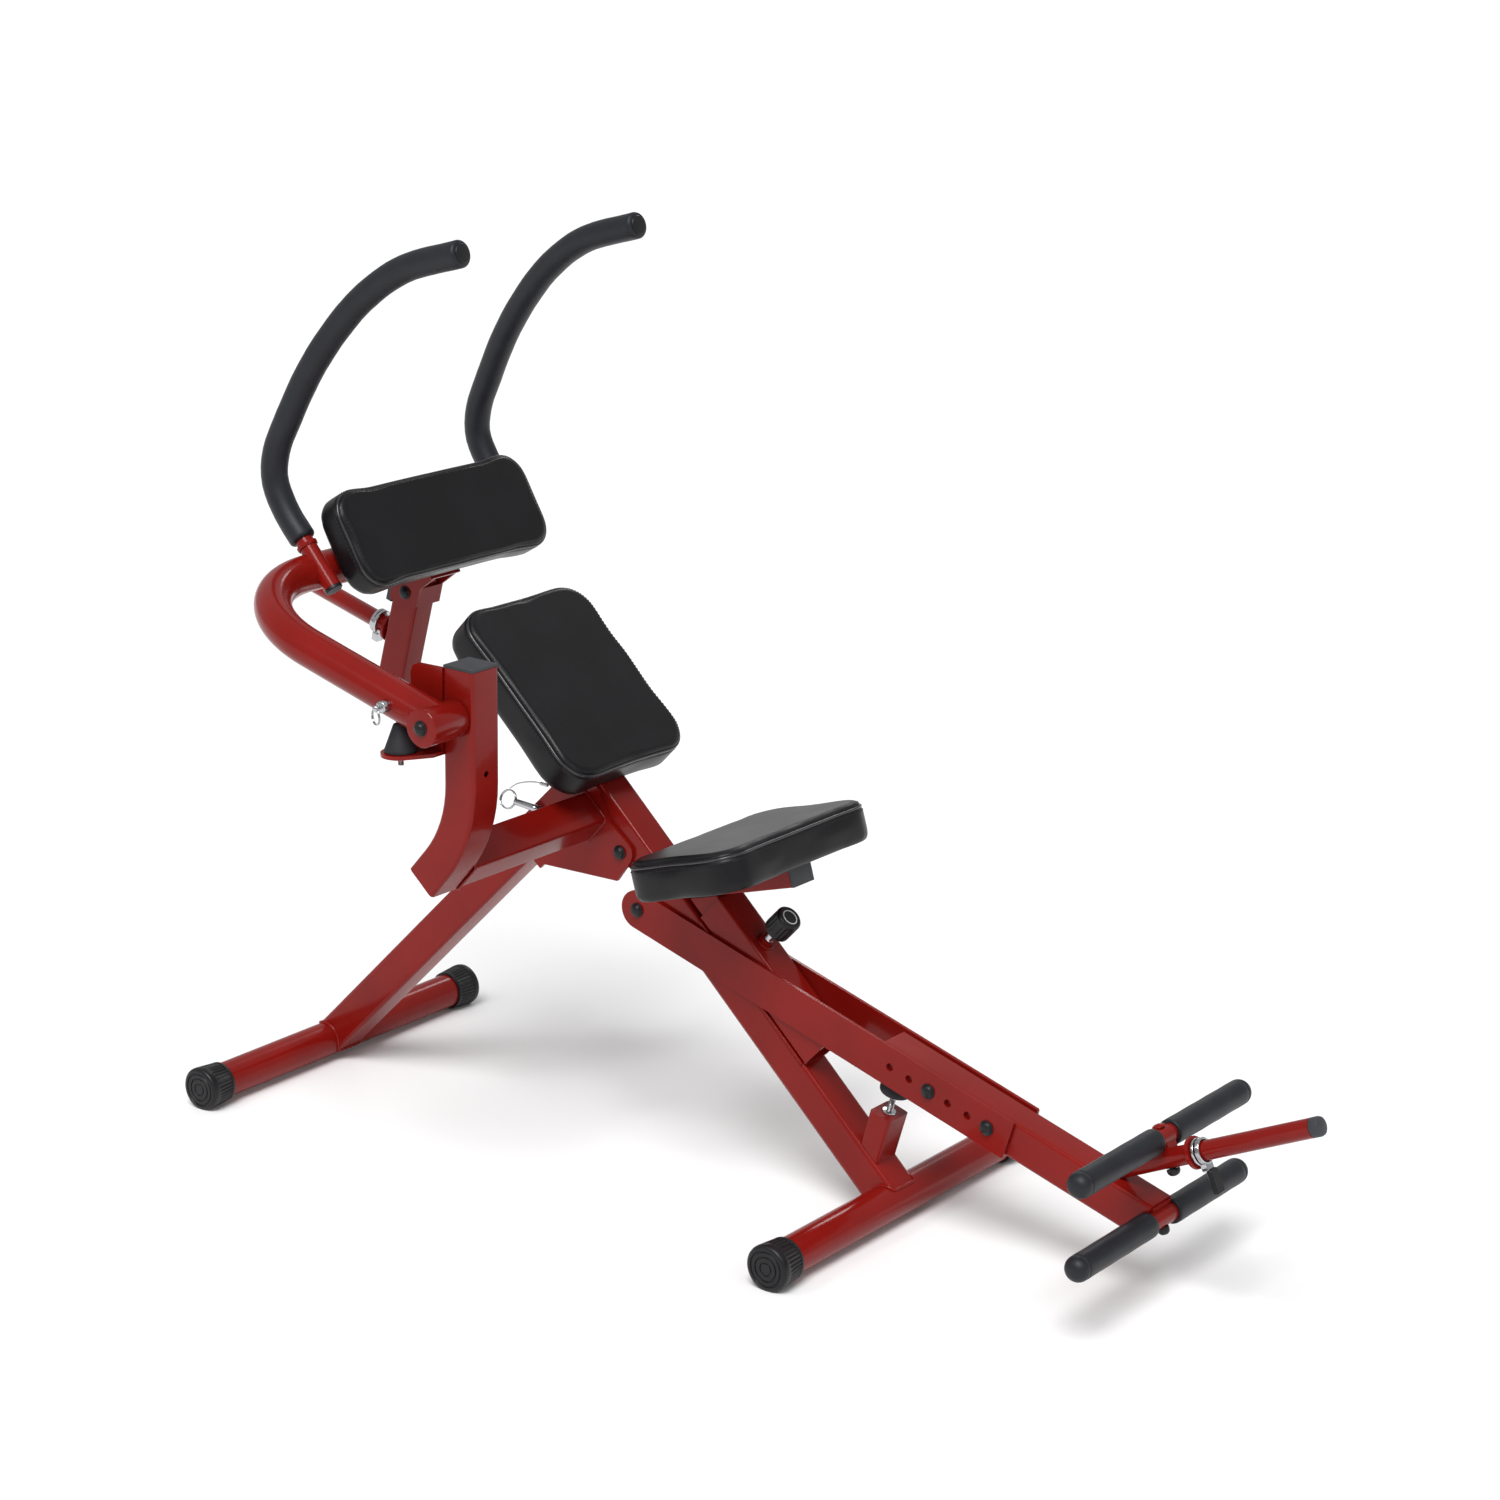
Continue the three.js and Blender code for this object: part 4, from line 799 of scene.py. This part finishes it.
def rubber_stops():
    """The cone under the arm and the buffer under the lever."""
    low = 637.0
    top = 679.0
    cone = [(20.4, low + 5.4), (21, low + 6), (21, low + 9.2), (20, low + 11), (8.8, top - 1.2),
            (7.8, top), (0, top)]
    origin = at(506, -381, 0)
    piece("arm_rubber_cone", *spin(origin, (0, 0, 1), cone, 56), RUBBER, "rear_frame",
          ["arm_bumper"])
    stud = [(3.4, low - 13), (4, low - 12.2)]
    for k in range(9):
        stud += [(4.0, low - 12 + k * 1.3), (3.4, low - 11.35 + k * 1.3)]
    stud += [(4, low - 0.2), (4, low + 5)]
    nut = slab(at(506, -381, low - 2.6), Vector((1, 0, 0)), Vector((0, 1, 0)), Vector((0, 0, 1)),
               (12, 12, 4.4), 3)
    piece("arm_cone_stud", *merged([spin(origin, (0, 0, 1), stud, 28), nut]), CHROME, "rear_frame")
    up = turn_y(LEVER_DROP) @ Vector((0, 0, 1))
    seat = lever_point(442, 0, -27.7)
    buffer = [(0, 0), (12, -0.1), (14, -1.2), (17, -5), (20.6, -12), (21.6, -14.5), (21.6, -17.5),
              (20.4, -20), (17, -21), (0, -21)]
    piece("lever_rubber_buffer", *spin(seat, up, [(r, h) for r, h in reversed(buffer)], 56),
          RUBBER, "base", ["stop_bumper"])
    screw = [(3.5, -66)]
    for k in range(14):
        screw += [(4.2, -52 + k * 1.5), (3.6, -51.25 + k * 1.5)]
    screw += [(4.2, -30), (4.2, -21)]
    washer = [(9, -51.2), (9.4, -50.6), (9, -49.6), (5, -49.2)]
    piece("lever_buffer_stud", *merged([spin(seat, up, screw, 28), spin(seat, up, washer, 32)]),
          CHROME, "base")


def seat_pin():
    normal = turn_y(SLOPE - 90) @ Vector((1, 0, 0))
    along = turn_y(SLOPE - 90) @ Vector((0, 0, 1))
    origin = at(SPREAD, 0, FOOT_Z) + along * 0.372
    face = 84.8
    shank = [(5, 66), (5, face - 8), (7.6, face - 7.6), (8.4, face - 6.8), (8.4, face - 2),
             (7.2, face), (6.6, face + 1), (6.6, face + 15.6), (9, face + 16.2)]
    piece("seat_pin_shank", *spin(origin, normal, shank, 40), CHROME, "seat_pin")
    knob = [(11, face + 16), (16.6, face + 16.6), (18.4, face + 18.4), (18.6, face + 21)]
    knob += [(18.6, face + 21 + 25 * k / 6) for k in range(1, 7)]
    knob += [(18.2, face + 48), (16.4, face + 50.2), (15, face + 50.6), (14.4, face + 49.8),
             (13.2, face + 49.8), (0, face + 49.8)]
    piece("seat_pin_knob", *spin(origin, normal, knob, 120, ribs=(20, 1.3, face + 21.5, face + 45)),
          PLASTIC, "seat_pin", ["seat_pin"], 50)
    loop = []
    side = Vector((0, 1, 0))
    for k in range(40):
        a = 2 * math.pi * k / 40
        loop.append(origin + normal * (face + 50.0) / 1000
                    + (along * math.cos(a) + side * math.sin(a)) * 0.0105)
    piece("seat_pin_face_ring", *sweep(loop, 0.75, 8, True), MARK, "seat_pin")


def pull_ring(centre, axis, radius, wire, turns=2.0):
    """A split ring of round wire with overlapping turns."""
    axis = Vector(axis).normalized()
    side = axis.orthogonal().normalized()
    other = axis.cross(side)
    pts = []
    count = int(40 * turns)
    for k in range(count + 1):
        a = 2 * math.pi * k / 40
        pts.append(centre + (side * math.cos(a) + other * math.sin(a)) * radius / 1000
                   + axis * (wire * 1.9 * (k / 40 - turns / 2)) / 1000)
    return sweep(pts, wire, 10)


def lock_pins():
    y = 31.0
    hole = at(435, 0, 470)
    path = [hole + Vector((0, (y + 9) / 1000, 0)), hole + Vector((0, (y + 7) / 1000, 0)),
            hole + Vector((0, -(y + 1) / 1000, 0))]
    for k in range(1, 8):
        a = math.radians(85 * k / 7)
        path.append(hole + Vector((-0.007 * (1 - math.cos(a)), -(y + 1) / 1000 - 0.007 * math.sin(a),
                                   0.001 * (1 - math.cos(a)))))
    path.append(hole + Vector((-0.036, -(y + 11) / 1000, 0.005)))
    radii = [3.4, 5, 5] + [5] * 7 + [4.4]
    ring = pull_ring(hole + Vector((-0.0475, -(y + 12) / 1000, 0.0065)), (0, -0.927, 0.375),
                     13, 1.15)
    piece("lock_pin_rod", *merged([sweep(path, radii, 24), ring]), CHROME, "lock_pin",
          ["lock_pin"], 60)
    pts = [at(393, -45, 494), at(405, -44, 502), at(422, -41, 507), at(438, -37, 508),
           at(449, -34.5, 506)]
    wire = sweep(catmull(pts, 30), 0.95, 10)
    start, along = at(440, -35.6, 507), Vector((1, 0.12, -0.1))
    crimp = spin(start, along, [(1.6, 0), (2.5, 0.8), (2.5, 5), (2.1, 6), (2.5, 7), (2.5, 12.4),
                                (1.6, 13.4)], 24)
    piece("lock_lanyard_wire", *merged([wire, crimp]), ZINC, "rear_frame", ["lock_lanyard"])
    rise = math.atan2(ARM_CROSS[1] - ARM_PIVOT[1], ARM_PIVOT[0] - ARM_CROSS[0])
    px, pz = ARM_PIVOT[0] - 66 * math.cos(rise), ARM_PIVOT[1] + 66 * math.sin(rise)
    origin = at(px, ARM_Y - TUBE_R, pz)
    body = [(3, -40), (4, -39), (4, -1), (7.4, -0.6), (8, 0.2), (8, 11.4), (7.2, 12.6), (3, 13),
            (2.6, 17.4), (4.4, 18.2), (4.6, 19.4), (4.6, 21.6), (3.4, 23.4), (0, 24)]
    ring = pull_ring(origin + Vector((0, -0.0205, -0.0102)), (0.34, 0.94, 0), 10.6, 0.9)
    piece("arm_ring_pin", *merged([spin(origin, (0, -1, 0), body, 40), ring]), CHROME,
          "arm_lock_pin", ["arm_lock_pin"], 60)


def welds():
    """Visible weld beads, as in the enamelled joints of the frame."""
    along = turn_y(SLOPE - 90) @ Vector((0, 0, 1))
    normal = turn_y(SLOPE - 90) @ Vector((1, 0, 0))
    side = Vector((0, 1, 0))
    main = at(SPREAD, 0, FOOT_Z)
    tilt = turn_y(90 - 46.5)
    cx = at(518, 0, 473)
    bead("weld_cross_tube", rounded_loop(cx + Vector((0, -0.0316, 0)), tilt @ Vector((1, 0, 0)),
                                         tilt @ Vector((0, 0, 1)), 51.6, 51.6, 5), "rear_frame")
    bead("weld_upright", rounded_loop(cx + Vector((0, -0.2958, 0)), tilt @ Vector((1, 0, 0)),
                                      tilt @ Vector((0, 0, 1)), 51.6, 51.6, 5), "rear_frame")
    for sign in (-1, 1):
        line = [main + normal * 0.0256 + along * s / 1000 + side * sign * 0.0262
                for s in range(212, 452, 5)]
        bead(f"weld_receiver_{'near' if sign < 0 else 'far'}", line, "base", 1.7, False)
    boss = [main + normal * 0.0767 + along * 0.372
            + (along * math.cos(a) + side * math.sin(a)) * 0.0118
            for a in [2 * math.pi * k / 24 for k in range(24)]]
    bead("weld_pin_boss", boss, "base", 1.5)
    for label, x, angle in (("main", SPREAD, SLOPE - 90), ("leg", 0, 90 - SLOPE)):
        body = "base" if label == "main" else "rear_frame"
        up = turn_y(angle) @ Vector((0, 0, 1))
        out = turn_y(angle) @ Vector((1, 0, 0))
        pts = []
        loop = rounded_loop(Vector((0, 0, 0)), Vector((1, 0, 0)), Vector((0, 1, 0)), 51.6, 51.6, 5)
        for p in loop:
            n = p.x * 1000
            h = math.sqrt(max(26.2 ** 2 - n ** 2, 0)) if abs(n) < 26.2 else 0
            pts.append(at(x, 0, FOOT_Z) + out * n / 1000 + side * p.y + up * h / 1000)
        bead(f"weld_{label}_foot", pts, body, 2.0)
    rear = turn_y(POST_TILT) @ Vector((-1, 0, 0))
    down = turn_y(POST_TILT) @ Vector((0, 0, -1))
    root = post_point(0, 0, PEG_DROP) + rear * 0.0235
    ring = [root + (side * math.cos(a) + down * math.sin(a)) * 0.0135
            for a in [2 * math.pi * k / 24 for k in range(24)]]
    bead("weld_weight_peg", ring, "arm", 1.6)


# ------------------------------------------------------------------ build
floor_stand("rear", 0.0, "rear_frame")
floor_stand("front", SPREAD, "base")
arm_tube()
handle(-1, "right")
handle(1, "left")
weight_peg()
foot_end()
rubber_stops()
seat_pin()
lock_pins()
welds()

domed_bolt("fold_bolt_caps", "fold_bolt", "base", at(576.5, 0, 432.2), 31.6, 8.6, 7.2)
domed_bolt("lever_pivot_caps", "lever_pivot_bolt", "base", at(606, 0, 356), 31.8, 8.6, 7.2)
domed_bolt("extension_caps_rear", "extension_bolt_rear", "lever", lever_point(503.5, 0, 0), 31.4, 8.8,
           6.6, 4.8)
domed_bolt("extension_caps_front", "extension_bolt_front", "lever", lever_point(598.75, 0, 0), 31.4,
           8.8, 6.6, 4.8)
domed_bolt("bracket_bolt_caps", "bracket_bolt", "arm", post_point(2.5, 0, -14), 24.4, 8.2, 7)
domed_bolt("arm_pivot_caps", "arm_pivot_bolt", "rear_frame", at(571, (-412.3 - 295.8) / 2, 690), 58.3,
           8.8, 8)

cushion("back_cushion", "back_pad", "base", 44.0, 44, 3.0, 5, 45)
cushion("seat_cushion", "seat_pad", "seat", -15.8, 42, 2.5, 5, 46)
cushion("head_cushion", "head_pad", "arm", 60.0, 38, 3.0, 5, 39)

SLOT_BY_NODE = {s["node"]: s["material_slot"] for s in frame["record"]["subparts"]}
for node_name in frame["nodes"]:
    dress_node(node_name, BY_SLOT[SLOT_BY_NODE[node_name]])

# ------------------------------------------------------------------ stage, light, camera
floor_mat = finish_material("stage_floor", (0.9, 0.9, 0.9), 0.95, spread=0.002, scale=2, specular=0.0,
                            bumps=[("noise", 40, 0.01, 0.001)])
floor_mesh = bpy.data.meshes.new("stage_floor")
floor_mesh.from_pydata([(-90, -90, 0), (90, -90, 0), (90, 90, 0), (-90, 90, 0)], [], [(0, 1, 2, 3)])
floor_mesh.materials.append(floor_mat)
floor = bpy.data.objects.new("stage_floor", floor_mesh)
bpy.context.scene.collection.objects.link(floor)

world = bpy.data.worlds.new("soft_world")
world.use_nodes = True
world.node_tree.nodes["Background"].inputs["Color"].default_value = (1, 1, 1, 1)
world.node_tree.nodes["Background"].inputs["Strength"].default_value = 0.5
bpy.context.scene.world = world


def area_light(name, place, target, size, power):
    data = bpy.data.lights.new(name, "AREA")
    data.shape = "DISK"
    data.size = size
    data.energy = power
    lamp = bpy.data.objects.new(name, data)
    bpy.context.scene.collection.objects.link(lamp)
    lamp.location = place
    lamp.rotation_euler = (Vector(target) - Vector(place)).to_track_quat("-Z", "Y").to_euler()


area_light("key_light", (-1.4, -3.2, 3.2), (0, 0, 0.5), 0.6, 14)
area_light("side_light", (3.4, -0.6, 2.6), (0, 0, 0.5), 0.7, 9)
area_light("back_light", (-1.5, 3.4, 3.0), (0, 0, 0.6), 0.8, 12)
sun_data = bpy.data.lights.new("soft_sun", "SUN")
sun_data.energy = 2.5
sun_data.angle = math.radians(30)
sun = bpy.data.objects.new("soft_sun", sun_data)
bpy.context.scene.collection.objects.link(sun)
sun.rotation_euler = Vector((0.35, -0.75, 1.3)).to_track_quat("Z", "Y").to_euler()

camera_data = bpy.data.cameras.new("front_camera")
camera_data.sensor_width = 36
camera_data.lens = 83.04
camera_data.shift_x = 0.0081
camera_data.shift_y = -0.0166
camera_data.clip_end = 200
camera = bpy.data.objects.new("front_camera", camera_data)
bpy.context.scene.collection.objects.link(camera)
camera.location = at(3439.6, -3481.2, 1848.6)
camera.rotation_euler = (math.radians(90 - 15.44), math.radians(0.15), math.radians(37.59))
bpy.context.scene.camera = camera
bpy.context.scene.view_settings.view_transform = "Standard"
